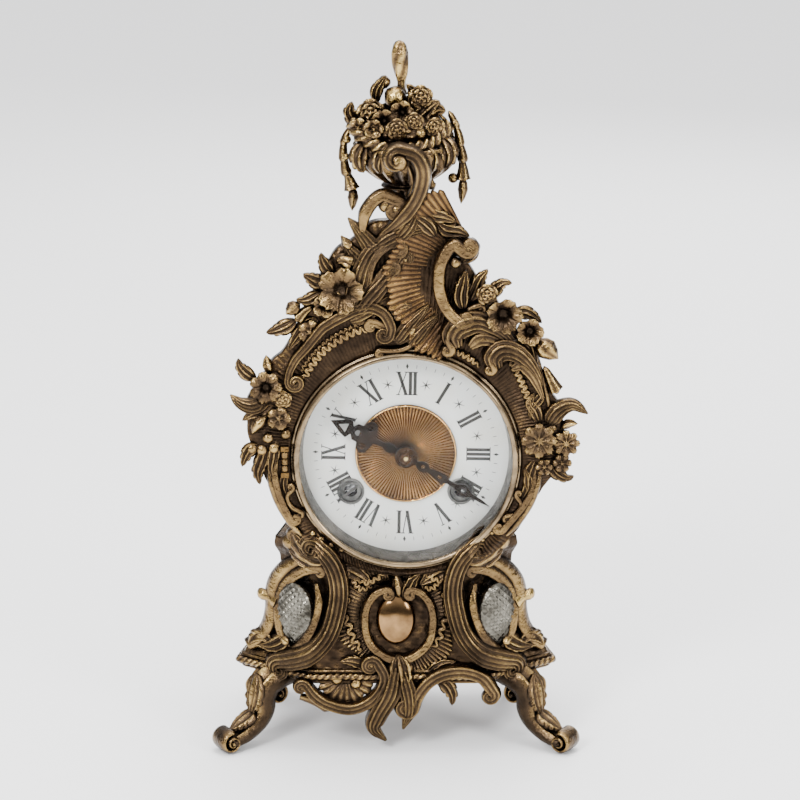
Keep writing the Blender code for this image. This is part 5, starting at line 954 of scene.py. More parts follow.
def baseSkin(s):
    # the plan is a rectangle with two cut corners, walked evenly; its size follows the height, and the top edge
    # follows the round drum above it
    v = np.linspace(0, 1, s["rows"])[None, :]
    low, high = baseLow.z * 1000, baseHigh.z * 1000
    spans = np.array(s["spans"])
    u = np.linspace(0, 1, s["around"], endpoint=False)
    corners = np.array([(-1, 1), (-1, -1), (-1, -1), (1, -1), (1, -1), (1, 1)], float)
    cutX = np.array([0, 0, 1, -1, 0, 0], float)
    narrow = np.array([s["rear"], 1, 1, 1, 1, s["rear"]])
    cutY = np.array([0, 1, 0, 0, 1, 0], float)
    sides = np.array([0, 0.16, 0.30, 0.62, 0.76, 0.92, 1.0])

    def plan(share):
        half = np.interp(share, spans[:, 0], spans[:, 1]) + s["outside"]
        deep = s["depth"] - np.interp(share, spans[:, 0], spans[:, 2]) + s["outside"]
        scale = 1 - 0.45 * share
        x = corners[:, 0] * half * narrow + cutX * s["corner"][0] * scale
        y = corners[:, 1] * deep + cutY * s["corner"][1] * scale
        return np.stack([np.interp(u, sides, np.append(x, x[0])), np.interp(u, sides, np.append(y, y[0]))], -1)

    grid = np.array([plan(k) for k in v[0]])                       # rows, around, 2
    middle = np.array([dialAxis[0] * 1000 - baseMiddle * 1000, dialAxis[1] * 1000])
    x = grid[:, :, 0] - middle[0]
    clear = np.where(grid[:, :, 1] < castingFront * 1000 + 8.3, s["drum"], s["drumBehind"])
    under = middle[1] - np.sqrt(np.clip(clear**2 - x**2, 0, None))
    top = np.where(np.abs(x) < clear, np.minimum(under, high), high)
    z = low + (top - low) * v.T
    share = (z - low) / (high - low)
    final = np.array([plan(k) for k in np.linspace(0, 1, 40)])
    index = np.clip(share * 39, 0, 38.999)
    k, f = index.astype(int), (index % 1)[:, :, None]
    column = np.arange(s["around"])[None, :]
    grid = final[k, column] * (1 - f) + final[k + 1, column] * f
    ahead = np.roll(grid, -1, 1) - np.roll(grid, 1, 1)
    out = np.stack([-ahead[:, :, 1], ahead[:, :, 0]], -1)
    out /= np.linalg.norm(out, axis=2)[:, :, None]
    out *= np.sign((out * grid).sum(2))[:, :, None]
    turn = grid[:, :, 0] * 0.55
    shell = np.sin(turn + 1.4 * np.sin(z * 0.21)) * np.sin(z * 0.42 + 2 * np.sin(grid[:, :, 0] * 0.13))
    lines = np.abs(np.sin(z * 0.9 + 0.12 * grid[:, :, 0]))
    front = np.clip((-grid[:, :, 1] - 26) / 8, 0, 1)
    push = (0.45 * shell + 0.25 * lines) * front
    outer = grid + out * push[:, :, None]
    inner = grid - out * s["thick"]
    rings = np.stack([np.concatenate([outer[:, :, 0], inner[::-1, :, 0]]),
                      np.concatenate([outer[:, :, 1], inner[::-1, :, 1]]),
                      np.concatenate([z, z[::-1]])], -1)
    rings = np.swapaxes(rings, 0, 1) / 1000 + np.array([baseMiddle, 0, 0])
    # shell relief and lines lighter on the front; the inside wall is set dark, painted shade
    tone = 0.42 + front * (0.25 * shell + 0.2 * lines - 0.12)
    tone = np.clip(np.concatenate([tone, 0 * tone + 0.1]).T, 0, 1)
    return [loft(rings, tone, hoop=True)]


makePiece("baseWalls", "case", baseSkin(baseSizes), frontGround)


def mirrored(rows):
    # the same ornament on the other side of the middle: x changes sign, and so does the side a curl turns to
    flipped = []
    for shape, where, sizes, *more in rows:
        points = (-where[0], where[1]) if shape is ball else [(-x, z) for x, z in where]
        settings = dict(more[0]) if more else {}
        for key in {"startCurl", "endCurl"} & set(settings):
            r, turns, side = settings[key]
            settings[key] = (r, turns, -side)
        flipped.append((shape, points, sizes, settings))
    return flipped


cornerScrolls = [
    (band, [(-46.2, 127.0), (-39.3, 120.2), (-34.7, 110.4), (-33.0, 99.4), (-34.3, 88.2), (-37.8, 75.9),
            (-43.7, 66.5), (-52.5, 59.1), (-63.1, 54.1), (-70.1, 51.6)], (13, 8, 1.5),
            dict(reeds=5, taper=(0.65, 0.5), count=110, around=34, startCurl=(4.6, 0.9, 1),
                 endCurl=(4.2, 1.0, 1))),
    (leaf, [(-39.3, 120.2), (-47.4, 120.2), (-55.5, 123.9), (-61.2, 131.3)], (17, 5, 3, 4)),
    (leaf, [(-42.8, 114.1), (-49.8, 114.1), (-56.7, 116.6), (-62.5, 120.2)], (12, 4, 2, 4)),
    (ball, (-62.4, 124.2), (4.4, 3)),
    (band, [(-61.2, 130.0), (-55.4, 134.9), (-48.5, 134.3), (-42.7, 129.4)], (5, 3.6, 3),
     dict(groove=0.3, startCurl=(2.6, 1, 1))),
    (band, [(-28.3, 110.4), (-30.7, 103.1), (-28.4, 94.4), (-30.8, 85.8), (-27.3, 77.1), (-25.0, 69.7),
            (-19.8, 63.4)], (3.4, 3, 1.6), dict(count=130, wiggle=(1.5, 9), taper=(0.7, 0.7))),
    (band, [(-26.6, 105.5), (-20.8, 99.4), (-13.9, 100.6)], (2.8, 2.6, 1.4), dict(count=80, wiggle=(1.1, 5))),
    (band, [(-42.8, 125.1), (-35.8, 117.8), (-31.3, 108.0), (-29.6, 96.9), (-30.8, 85.8), (-34.9, 74.6),
            (-40.8, 64.7)], (3.4, 4.2, 3), dict(count=90)),
    (leaf, [(-33.6, 110.4), (-26.6, 110.4), (-19.7, 106.7), (-13.9, 101.8)], (12, 3.4, 0.6, 4)),
]
sidePanels = [
    (band, [(-45.2, 111.7), (-53.3, 108.6), (-60.3, 103.1), (-65.6, 95.7), (-68.6, 87.0), (-69.3, 77.1),
            (-67.6, 67.2), (-63.0, 60.9)], (7, 4.6, 1.2), dict(groove=0.3, count=90, startCurl=(2.4, 1, -1))),
    (band, [(-48.6, 116.6), (-57.3, 112.9), (-64.9, 106.7), (-70.8, 98.1), (-73.2, 89.5), (-73.4, 79.6),
            (-75.8, 69.7), (-81.7, 60.9), (-87.6, 56.0)], (8, 5, -0.4), dict(count=90, taper=(0.8, 0.9))),
    (turnedBud, [(-71.0, 85.8), (-75.6, 87.6), (-82.0, 88.2)], (10, 1.0),
     dict(profile=((0, 1), (0.45, 0.62), (0.75, 0.7), (0.94, 0.5), (1, 0.1)))),
    (band, [(-46.4, 101.8), (-44.7, 90.7), (-47.1, 79.6), (-51.9, 69.7), (-57.8, 62.2), (-65.4, 57.8)],
     (6, 4, 0.8), dict(groove=0.3, taper=(0.4, 0.6))),
    (leaf, [(-73.6, 59.7), (-78.2, 62.2), (-82.9, 60.9), (-87.0, 57.2)], (12, 4, 1, 4)),
    (leaf, [(-64.1, 68.4), (-67.7, 63.4), (-73.6, 59.7), (-80.6, 58.5)], (10, 4, 1.6, 4)),
    (ball, (-65.3, 64.7), (3, 3)),
]
cartouche = [
    (band, [(-5.7, 99.4), (-11.6, 96.9), (-16.8, 89.5), (-18.0, 78.3), (-15.1, 67.2), (-7.0, 59.7),
            (1.8, 57.2), (10.6, 59.7), (18.7, 67.2), (21.6, 78.3), (20.4, 89.5), (15.2, 96.9), (9.4, 99.4)],
            (5.4, 5, 2.6), dict(groove=0.28, count=120, startCurl=(3.0, 1.0, -1), endCurl=(3.0, 1.0, 1),
                                taper=(0.8, 0.8))),
    (turnedBud, [(2.4, 93.2), (1.2, 100.6), (0.1, 109.2)], (8, 3), dict(flutes=4, deep=0.2)),
    (leaf, [(4.7, 93.2), (7.6, 99.4), (9.9, 104.9), (14.0, 109.2)], (9, 4, 2.4, 3)),
    (band, [(-6.9, 109.2), (-11.5, 105.5), (-17.3, 103.1), (-23.1, 105.5)], (3, 2.6, 1.6),
     dict(count=80, wiggle=(1.1, 5))),
    (band, [(16.3, 109.2), (22.1, 105.5), (27.9, 104.3), (33.2, 106.7)], (3, 2.6, 1.6),
     dict(count=80, wiggle=(1.1, 5))),
]


def rocaille(middle, across, tall, spread, ribs, grow, lift, height):
    # a ragged ribbed ring round an oval: the rim's reach wanders, and every rib is a wave across the angle
    a = np.radians(np.linspace(spread[0], spread[1], ribs * 8 + 1))[:, None]
    v = np.linspace(0, 1, 14)[None, :]
    wave = np.abs(np.sin(ribs / 2 * (a - a[0]) * 360 / (spread[1] - spread[0])))
    reach = grow * (0.75 + 0.25 * np.sin(5 * a + 1) * np.sin(3 * a)) * (0.88 + 0.12 * wave)
    x = (across + reach * v) * np.cos(a)
    z = (tall + reach * v) * np.sin(a)
    up = height * (0.5 * np.sin(math.pi * v) + 0.6 * v**3) + 0.9 * (wave - 0.5) * (0.3 + v)
    top = np.stack([middle[0] + x, middle[1] + z, up + lift], -1)
    low = top - np.array([0, 0, 1.8]) - np.stack([0 * up, 0 * up, 0.5 * up], -1)
    # rib crests and the outer rim lighter; the underside is set dark, painted shade
    tone = np.clip(0.12 + 0.5 * wave + 0.35 * v**4, 0, 1)
    return [loft(np.concatenate([top, low[:, -2:0:-1]], 1), np.concatenate([tone, 0 * tone[:, -2:0:-1]], 1))]


def domedOval(middle, across, tall, rise, lift=0, lattice=0.0, pitch=3.0, steps=96, rows=36):
    # an oval dome, flat at its middle; a lattice of crossing ridges stands on it when wanted
    s = np.linspace(0.02, 1, rows)[:, None]
    a = np.linspace(0, tau, steps, endpoint=False)[None, :]
    x, z = across * s * np.cos(a), tall * s * np.sin(a)
    up = rise * np.sqrt(np.clip(1 - s**2.4 * 0.98, 0, 1)) + 0 * a
    ridge = np.maximum(np.abs(np.cos(math.pi * (x + z) / pitch)), np.abs(np.cos(math.pi * (x - z) / pitch)))**8
    up = up + lattice * ridge
    top = np.stack([middle[0] + x, middle[1] + z, up + lift], -1)
    low = np.stack([middle[0] + x, middle[1] + z, 0 * up - 1.2 + lift], -1)[::-1]
    tone = 0.55 + 0.35 * (ridge if lattice else 0 * ridge) - (0.25 if lattice else 0)
    return [loft(np.concatenate([top, low]), np.concatenate([tone, 0.1 + 0 * tone]))]


def onBase(skins):
    # millimetres from the base's middle and the floor; the face leans back with height as the base does
    placed = []
    for p, q, t in skins:
        share = np.clip((p[:, 1] - 49.8) / 76.7, 0, 1)
        inset = np.interp(share, [s[0] for s in baseSizes["spans"]], [s[2] for s in baseSizes["spans"]])
        corner = 51 - 9 * share                     # beyond this the face turns away along the cut corner
        beyond = np.clip(np.abs(p[:, 0]) - corner, 0, None)
        y = -(baseSizes["depth"] - inset) - p[:, 2] + beyond * 0.69
        placed.append((np.column_stack([baseMiddle * 1000 + p[:, 0], y, p[:, 1]]) / 1000, q, t))
    return placed


makePiece("cornerScrolls", "case",
          onBase(built(cornerScrolls) + built(mirrored(cornerScrolls))), brass)
makePiece("cartouche", "case",
          onBase(rocaille((0, 80.6), 19.5, 23, (100, 440), 84, 18, 0.4, 2.6) + built(cartouche)), brass)
makePiece("cartoucheOval", "case", onBase(domedOval((0, 81.0), 11.4, 15.0, 5, 1.6)),
          ovalCopper)
makePiece("sideMoulding", "case",
          onBase(built(sidePanels) + built(mirrored(sidePanels))), brass)
lattice = []
for side in (-1, 1):
    right = np.array([0.82, side * 0.57, 0.0])
    outward = np.array([side * 0.57, -0.80, 0.20])
    at = (baseMiddle + side * 0.0585, -0.0360, 0.0800)
    lattice += onPanel(domedOval((0, 0), 13, 20, 5.5, 0, 0.6, 4.2, 140, 60), at, right, (0, 0, 1), outward)
makePiece("latticePanels", "case", lattice, silverPanel)


# ---- the ledge with its rope edge, the apron and the feet
ledgeSizes = {"half": (93.0, 50.0), "corner": (42.0, 29.0), "rear": 0.78, "rope": 2.1, "pitch": 3.9}


def plinthLine(out, z):
    # the plinth's outline from the rear left round the front to the rear right, moved outward
    hx, hy = ledgeSizes["half"][0] + out, ledgeSizes["half"][1] + out
    cx, cy = ledgeSizes["corner"]
    k = ledgeSizes["rear"]
    corners = [(-hx * k, hy), (-hx * (0.6 + 0.4 * k), 0.24 * hy), (-hx, -hy + cy),
               (-hx + cx * 0.5, -hy + cy * 0.5), (-hx + cx, -hy),
               (-hx * 0.3, -hy), (hx * 0.3, -hy), (hx - cx, -hy), (hx - cx * 0.5, -hy + cy * 0.5),
               (hx, -hy + cy),
               (hx * (0.6 + 0.4 * k), 0.24 * hy), (hx * k, hy)]
    return np.array([(baseMiddle * 1000 + x, y, z) for x, y in corners]) / 1000


def carried(points, section, tones, twist=None, count=420):
    # a closed section (out, up in mm) carried along a line in space; twist gives a rope's waves
    p = np.asarray(points, float)
    run = np.concatenate([[0], np.cumsum(np.linalg.norm(np.diff(p, axis=0), axis=1))])
    even = np.linspace(0, run[-1], count)
    path = np.column_stack([np.interp(even, run, p[:, i]) for i in range(3)])
    soft = np.vstack([path[:1]] * 4 + [path] + [path[-1:]] * 4)
    path = np.column_stack([np.convolve(soft[:, i], np.ones(9) / 9, "valid") for i in range(3)])
    ahead = np.gradient(path, axis=0)
    ahead /= np.linalg.norm(ahead, axis=1)[:, None]
    out = np.column_stack([ahead[:, 1], -ahead[:, 0], 0 * ahead[:, 0]])
    sec = np.asarray(section, float) / 1000
    wave = twist(even[:, None] * 1000, np.linspace(0, tau, len(sec), endpoint=False)[None, :]) if twist else 1
    rings = path[:, None] + out[:, None] * (sec[None, :, 0] * wave)[:, :, None]
    rings[:, :, 2] += sec[None, :, 1] * wave
    return [loft(rings, tones if twist is None else np.clip(2.6 * wave - 1.9, 0.05, 1))]


a = np.linspace(0, tau, 14, endpoint=False)
ropeSection = np.column_stack([np.cos(a), np.sin(a)]) * ledgeSizes["rope"]
ledgeSkins = carried(plinthLine(0.2, 46.8), ropeSection, 0.5,
                     lambda s, a: 0.80 + 0.26 * np.abs(np.cos(a - math.pi * s / ledgeSizes["pitch"])), 1300)
stepSection = roundedProfile([(-10, 0), (0.6, 0), (1.1, 1.0), (0.5, 2.2), (-0.9, 2.4), (-1.6, 4.2), (-3.2, 6.2),
                              (-5.4, 7.2), (-5.6, 8.8), (-10, 9)], 4)
ledgeSkins += carried(plinthLine(-1.4, 48.4), stepSection, 0.62)
underSection = roundedProfile([(-5, 0), (0.8, 0), (1.6, 1.2), (0.8, 2.8), (-5, 3)], 4)
ledgeSkins += carried(plinthLine(-2.0, 41.9), underSection, 0.6)
makePiece("ledgeMoulding", "case", ledgeSkins, brass)

apron = [
    (band, [(-52.7, 42.2), (-46.9, 34.7), (-38.7, 29.7), (-27.0, 27.1), (-16.4, 30.9), (-9.3, 38.4),
            (-6.4, 47.2), (-10.5, 56.0)], (8, 6, 5),
            dict(groove=0.3, reeds=3, count=90, startCurl=(3.4, 0.9, 1), endCurl=(4.6, 1.1, 1))),
    (ball, (-34.5, 45.3), (4, 5)),
    (ball, (-23.4, 42.2), (3.6, 5)),
    (fan, (-29.2, 46.0), (4, 16, (195, 350), 9, 4, 3.4), dict(ridge=0.8)),
    (band, [(10.0, 27.1), (12.4, 34.7), (18.8, 43.5), (28.1, 49.1), (39.8, 50.3), (50.4, 46.6), (57.5, 37.2)],
     (9, 6, 5), dict(groove=0.3, reeds=3, count=90, startCurl=(4.4, 1.1, -1), endCurl=(3.4, 0.9, -1),
                     taper=(0.8, 0.6))),
    (band, [(0.1, 53.5), (-3.5, 37.2), (-10.5, 23.4), (-12.9, 14.5), (-5.8, 6.3)], (15, 7, 5),
     dict(reeds=5, shape=((0, 0.7), (0.3, 1), (0.7, 0.8), (1, 0.12)), count=80, around=30)),
    (band, [(3.6, 51.0), (7.1, 37.2), (7.7, 25.9), (4.2, 13.9)], (12, 6, 6),
     dict(reeds=5, shape=((0, 0.7), (0.3, 1), (0.7, 0.8), (1, 0.12)), count=70, around=30)),
    (leaf, [(1.2, 60.9), (2.4, 53.5), (3.6, 46.0), (2.4, 37.2)], (15, 5, 7, 4)),
    (turnedBud, [(-56.3, 32.8), (-46.9, 30.3), (-37.5, 26.5)], (10, 2),
     dict(profile=((0, 0.4), (0.5, 0.7), (0.85, 1), (0.97, 0.7), (1, 0.2)), flutes=3)),
    (leaf, [(23.5, 44.7), (29.4, 41.0), (32.9, 34.7), (32.9, 28.4)], (9, 3, 3, 3)),
    (leaf, [(-14.0, 48.5), (-18.7, 53.5), (-25.7, 56.0), (-32.7, 56.0)], (9, 3, 3, 4)),
    (leaf, [(16.5, 37.2), (18.8, 46.0), (25.8, 53.5), (35.1, 56.0)], (9, 3, 3, 4)),
]


apronBack = -0.044          # the apron's plane, set back under the ledge
makePiece("apron", "case", onFront(built(apron), apronBack, (baseMiddle, 0.0)), brass)

footSizes = {
    # along the leg from under the ledge to the toe: out, up, width across, thickness, in mm
    "leg": ((10, 43, 20, 14), (20, 41.5, 22, 15), (28, 37, 22, 16), (31, 30, 20, 15), (31, 23, 18, 14),
            (34, 16.4, 17, 12),
            (41, 10.6, 17, 10.5), (48, 7.4, 17, 9), (55, 5.8, 16, 7)),
    "toe": 6.6, "toeWidth": 15.0, "toeAt": 54.8, "knee": 6.4, "kneeAt": (23, 31),
    "reach": 61.6, "upperLeaf": (33.5, 44.5), "lowerLeaf": (34.5, 21.5),   # out along the leg and up
}


def footSkins(s):
    # an oval section carried down the leg, with three reeds on its outer side, then the rolled toe and the knee
    leg = smoothPath([(k[0], k[1], 0) for k in s["leg"]], 70)
    t = np.linspace(0, 1, 70)
    run = np.linspace(0, 1, len(s["leg"]))
    wide = np.interp(t, run, [k[2] for k in s["leg"]])[:, None] / 2
    thick = np.interp(t, run, [k[3] for k in s["leg"]])[:, None] / 2
    a = np.linspace(0, tau, 44, endpoint=False)[None, :]
    across, out = np.cos(a), np.sin(a)
    reed = 1 + 0.22 * np.cos(3 * math.pi * across) * (out > 0)
    ahead = np.gradient(leg[:, :2], axis=0)
    ahead /= np.linalg.norm(ahead, axis=1)[:, None]
    upward = np.column_stack([-ahead[:, 1], ahead[:, 0]])
    u = leg[:, :1] + upward[:, :1] * thick * out * reed
    v = leg[:, 1:2] + upward[:, 1:] * thick * out * reed
    rings = np.stack([u, v, wide * np.sign(across) * np.abs(across)**0.8 + 0 * u], -1)
    # lighter on the upper side and its reeds, darker underneath: painted light and painted shade
    tone = np.clip(0.15 + 0.55 * np.clip(out, 0, 1) + 0.25 * (reed - 1) / 0.22, 0.05, 1) + 0 * u
    return [loft(rings, tone)]


def volute(middle, r, width, turns=1.6, side=1, start=90):
    # a roll seen from the side: a spiral band wound about the across axis, fullest in its middle
    n = 70
    a = np.linspace(0, tau * turns, n)
    radius = r * (1 - 0.75 * a / a[-1])
    ang = math.radians(start) - side * a
    line = np.stack([middle[0] + radius * np.cos(ang), middle[1] + radius * np.sin(ang)], -1)
    ahead = np.gradient(line, axis=0)
    ahead /= np.linalg.norm(ahead, axis=1)[:, None]
    normal = np.column_stack([-ahead[:, 1], ahead[:, 0]])
    b = np.linspace(0, tau, 20, endpoint=False)[None, :]
    half = (width / 2 + 1.6 * a / a[-1])[:, None]
    thick = np.interp(a / a[-1], [0, 0.8, 1], [1.7, 1.2, 0.8])[:, None]
    u = line[:, :1] + normal[:, :1] * thick * np.sin(b)
    v = line[:, 1:] + normal[:, 1:] * thick * np.sin(b)
    w = half * np.sign(np.cos(b)) * np.abs(np.cos(b))**0.6
    return [loft(np.stack([u, v, w + 0 * u], -1), 0.3 + 0.5 * np.abs(np.cos(b)) + 0 * u)]


upward = np.array([0, 0, 1.0])
for front, deep, lean in (("front", -1, 0.62), ("rear", 1, 1.3)):
    for side, wide in (("left", -1), ("right", 1)):
        node = f"foot_{front}_{side}"
        low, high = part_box(node)
        toeX = low.x if wide < 0 else high.x
        toeY = low.y if deep < 0 else high.y
        turn = math.atan2(deep * lean, wide)
        way = np.array([math.cos(turn), math.sin(turn), 0.0])
        aside = np.array([-way[1], way[0], 0.0])
        toe = np.array([toeX - 0.0066 * abs(math.sin(turn)) * wide, toeY - 0.0066 * abs(math.cos(turn)) * deep,
                        0.0])
        s = footSizes
        start = toe - way * s["reach"] / 1000
        skins = footSkins(s)
        skins += volute((s["toeAt"], s["toe"] + 0.2), s["toe"] - 0.4, s["toeWidth"], 1.6, 1, 100)
        skins += volute(s["kneeAt"], s["knee"], 13, 1.5, -1, 70)
        skins += ball((s["toeAt"], s["toe"], 0), 2.2, 4.2) + ball((*s["kneeAt"], 0), 2.2, 4.0)
        leg = onPanel(skins, start, way, (0, 0, 1), aside)
        for key, path, width, height, flutes, along, outward in (
                ("upperLeaf", [(-1, 0), (0, 9), (0, 18), (0, 27)], 19, 4, 2.5, (0.12, -1), (1, 0.12)),
                ("lowerLeaf", [(0, 0), (0, 8), (0, 15), (0, 21)], 15, 3.4, 1.5, (0.86, -0.55), (0.5, 0.86))):
            out, up = s[key]
            leg += onPanel(leaf(path, width, height, 4, flutes=flutes),
                           start + way * out / 1000 + upward * up / 1000,
                           aside, way * along[0] + upward * along[1], way * outward[0] + upward * outward[1])
        makePiece(node.replace("_", " ").title().replace(" ", ""), "case", leg, brass,
                  hides=[node])


# ---- bezel, sight ring and glass, in mm from the dial's axis, depth towards the front
bezelSizes = {"steps": 200,
              # radius and height over the ring's back
              "profile": ((62.6, 0), (65.2, 0), (65.6, 0.6), (65.6, 10.2), (66.3, 11.0), (66.2, 11.9),
                          (65.2, 12.2),
                          (64.9, 13.0), (65.1, 13.8), (64.6, 15.0), (63.6, 15.9), (62.4, 16.2), (61.5, 15.7),
                          (61.1, 14.6), (61.4, 13.4), (62.6, 12.6))}


def aroundAxis(skins, back):
    return [(np.column_stack([dialAxis[0] + p[:, 0] / 1000, back - p[:, 2] / 1000,
                              dialAxis[1] + p[:, 1] / 1000]), q, t)
            for p, q, t in skins]


ring = aroundAxis(revolve(roundedProfile(bezelSizes["profile"], 4), bezelSizes["steps"]),
                  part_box("bezel_ring")[1].y)
knuckle = []
for z in (-4.0, 0.0, 4.0):
    knuckle += turnedBud([(0, z - 1.8, 0), (0, z, 0), (0, z + 1.8, 0)],
                         ((0, 0.8), (0.06, 1), (0.94, 1), (1, 0.8)), 4.3, count=12)
hingeLow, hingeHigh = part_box("bezel_hinge")
pinX = (hingeLow.x + hingeHigh.x) / 2
knuckle = onPanel(knuckle, (pinX, -0.0478, dialAxis[1]), (1, 0, 0), (0, 0, 1), (0, -1, 0))
makePiece("bezelKnuckles", "bezel", knuckle, frontGround)
makePiece("bezelRing", "bezel", ring, bezelGold, hides=["bezel_ring"])

slope = roundedProfile([(61.6, 12.1), (59.5, 0.9), (59.5, 0.2), (62.6, 0.2), (62.7, 12.1)], 3, 0.12)
makePiece("sightRing", "bezel",
          aroundAxis(revolve(slope, 200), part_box("sight_ring")[1].y), sightNickel, hides=["sight_ring"])


def glassSkin(radius=62.6, rise=8.0, thick=1.6, steps=160, rows=34):
    # two domes, height falling with the square of the radius, joined round the rim
    s = np.linspace(0.004, 1, rows)[:, None]
    a = np.linspace(0, tau, steps, endpoint=False)[None, :]
    up = rise * (1 - s**2) + 0 * a
    outer = np.stack([radius * s * np.cos(a), radius * s * np.sin(a), up + thick], -1)
    inner = np.stack([radius * s * np.cos(a), radius * s * np.sin(a), up], -1)[::-1]
    return [loft(np.concatenate([outer, inner]))]


makePiece("bezelGlass", "bezel", aroundAxis(glassSkin(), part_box("bezel_glass")[1].y), clearGlass,
          hides=["bezel_glass"])

drumLow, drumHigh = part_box("drum_body")
drumSizes = {"wall": 2.2, "hole": 66.5, "lip": 2.2, "steps": 240}


def drumSkin(s):
    # the drum's wall and its front lip, turned round the dial's axis, with a step and a bead near each end
    r, long = (drumHigh.x - drumLow.x) * 500, (drumHigh.y - drumLow.y) * 1000
    inside = r - s["wall"]
    return revolve([(r - 0.6, 0), (r, 0.5), (r, 3.0), (r - 0.7, 3.6), (r - 0.7, long - 3.6), (r, long - 3.0),
                    (r, long), (s["hole"], long), (s["hole"], long - s["lip"]), (inside, long - s["lip"]),
                    (inside, 0)], s["steps"])


makePiece("drumShell", "case", aroundAxis(drumSkin(drumSizes), drumHigh.y), darkBrass,
          hides=["drum_body"])

# ---- the dial, its numerals and hands
dialSizes = {"turn": 0.9, "ink": 0.12, "numeralIn": 35.0, "numeralOut": 49.0, "strokes": (1.9, 0.55),
             "serif": 0.5,
             "tick": (51.2, 53.4, 0.28), "diamond": (50.6, 54.0, 0.85), "star": (42.5, 3.7, 0.6)}
dialFront = dialLow.y
numerals = ("XII", "I", "II", "III", "IIII", "V", "VI", "VII", "VIII", "IX", "X", "XI")


def prism(outline, low=0.0, high=0.12):
    # a flat outline given thickness
    p = np.asarray(outline, float)
    rows = [np.column_stack([p, np.full(len(p), h)]) for h in (low, high)]
    return [loft(np.array([rows[0], rows[1]]), 0.5)]


def bar(x0, x1, width, r0, r1):
    # a slanting bar from the inner circle to the outer
    return [(x0 - width / 2, r0), (x0 + width / 2, r0), (x1 + width / 2, r1), (x1 - width / 2, r1)]


def letterStrokes(letter, s):
    # the bars of one letter, centred on 0, with half its width: each stroke's foot, head, thickness and serifs
    thick, thin = s["strokes"]
    r0, r1, serif = s["numeralIn"], s["numeralOut"], s["serif"]
    strokes = {"I": ((0, 0, thick, thick + 1.2, thick + 1.2),),
               "V": ((0.1, -2.3, thick, 0, thick + 1.1), (0.1, 2.3, thin, 0, thin + 1.6)),
               "X": ((2.3, -2.3, thick, thick + 1.1, thick + 1.1),
                     (-2.3, 2.3, thin, thin + 1.6, thin + 1.6))}[letter]
    bars = []
    for foot, head, width, footSerif, headSerif in strokes:
        bars += [bar(foot, head, width, r0, r1), bar(head, head, headSerif, r1 - serif, r1)]
        if footSerif:
            bars.append(bar(foot, foot, footSerif, r0, r0 + serif))
    return bars, 1.35 if letter == "I" else 3.3


def roundTheDial(outlines, degrees):
    # outlines of (across, out from the middle) turned to their place, clockwise from the top
    a = math.radians(degrees)
    turn = np.array([[math.cos(a), -math.sin(a)], [math.sin(a), math.cos(a)]])
    return [np.asarray(o, float) @ turn for o in outlines]


inkSkins = []
for hour, text in enumerate(numerals):
    at = sum(letterStrokes(k, dialSizes)[1] for k in text) * -1.0
    shapes = []
    for k in text:
        bars, half = letterStrokes(k, dialSizes)
        at += half
        shapes += [[(x + at, r) for x, r in bar] for bar in bars]
        at += half
    for shape in roundTheDial(shapes, hour * 30 + dialSizes["turn"]):
        inkSkins += prism(shape, 0, dialSizes["ink"])
    r0, r1, w = dialSizes["diamond"]
    shape = roundTheDial([[(0, r0), (w, (r0 + r1) / 2), (0, r1), (-w, (r0 + r1) / 2)]],
                         hour * 30 + dialSizes["turn"])
    inkSkins += prism(shape[0], 0, dialSizes["ink"])
    r, size, thin = dialSizes["star"]
    a = np.radians(np.arange(12) * 30.0)
    reachOut = np.where(np.arange(12) % 2 == 0, size, thin)
    star = np.column_stack([reachOut * np.sin(a), r + reachOut * np.cos(a)])
    inkSkins += prism(roundTheDial([star], hour * 30 + 15 + dialSizes["turn"])[0], 0, dialSizes["ink"])
for minute in range(60):
    if minute % 5:
        r0, r1, w = dialSizes["tick"]
        shape = roundTheDial([[(-w / 2, r0), (w / 2, r0), (w / 2, r1), (-w / 2, r1)]],
                             minute * 6 + dialSizes["turn"])
        inkSkins += prism(shape[0], 0, dialSizes["ink"])
makePiece("dialNumerals", "case", aroundAxis(inkSkins, dialFront + 0.00002), blackEnamel,
          smooth=False)

discSizes = {"radius": 29.5, "bore": 4.2, "rays": 90, "wave": 0.26, "rim": 1.5, "thick": 0.6}


def discSkin(s):
    # straight rays cut as waves round the middle; a plain raised rim stands round them
    r = np.concatenate([np.linspace(s["bore"], s["radius"] - s["rim"], 46),
                        np.linspace(s["radius"] - s["rim"] + 0.15, s["radius"], 9)])[None, :]
    a = np.linspace(0, tau, 720, endpoint=False)[:, None]
    body = (r < s["radius"] - s["rim"] + 0.05) * np.clip((r - s["bore"]) / 2, 0, 1)
    wave = np.cos(s["rays"] * a) * body
    rim = 1.0 * np.sin(math.pi * np.clip((r - s["radius"] + s["rim"]) / s["rim"], 0, 1))**0.6
    up = s["thick"] + s["wave"] * 0.5 * wave + rim
    top = np.stack([r * np.cos(a), r * np.sin(a), up + 0 * a], -1)
    low = np.stack([r * np.cos(a), r * np.sin(a), 0 * r + 0 * a], -1)[:, ::-1]
    # ray crests and the raised rim lighter; the underside is set dark, painted shade
    tone = np.clip(0.34 + 0.36 * wave + 0.75 * rim, 0, 1)
    return [loft(np.concatenate([top, low], 1), np.concatenate([tone, 0 * tone], 1), hoop=True)]


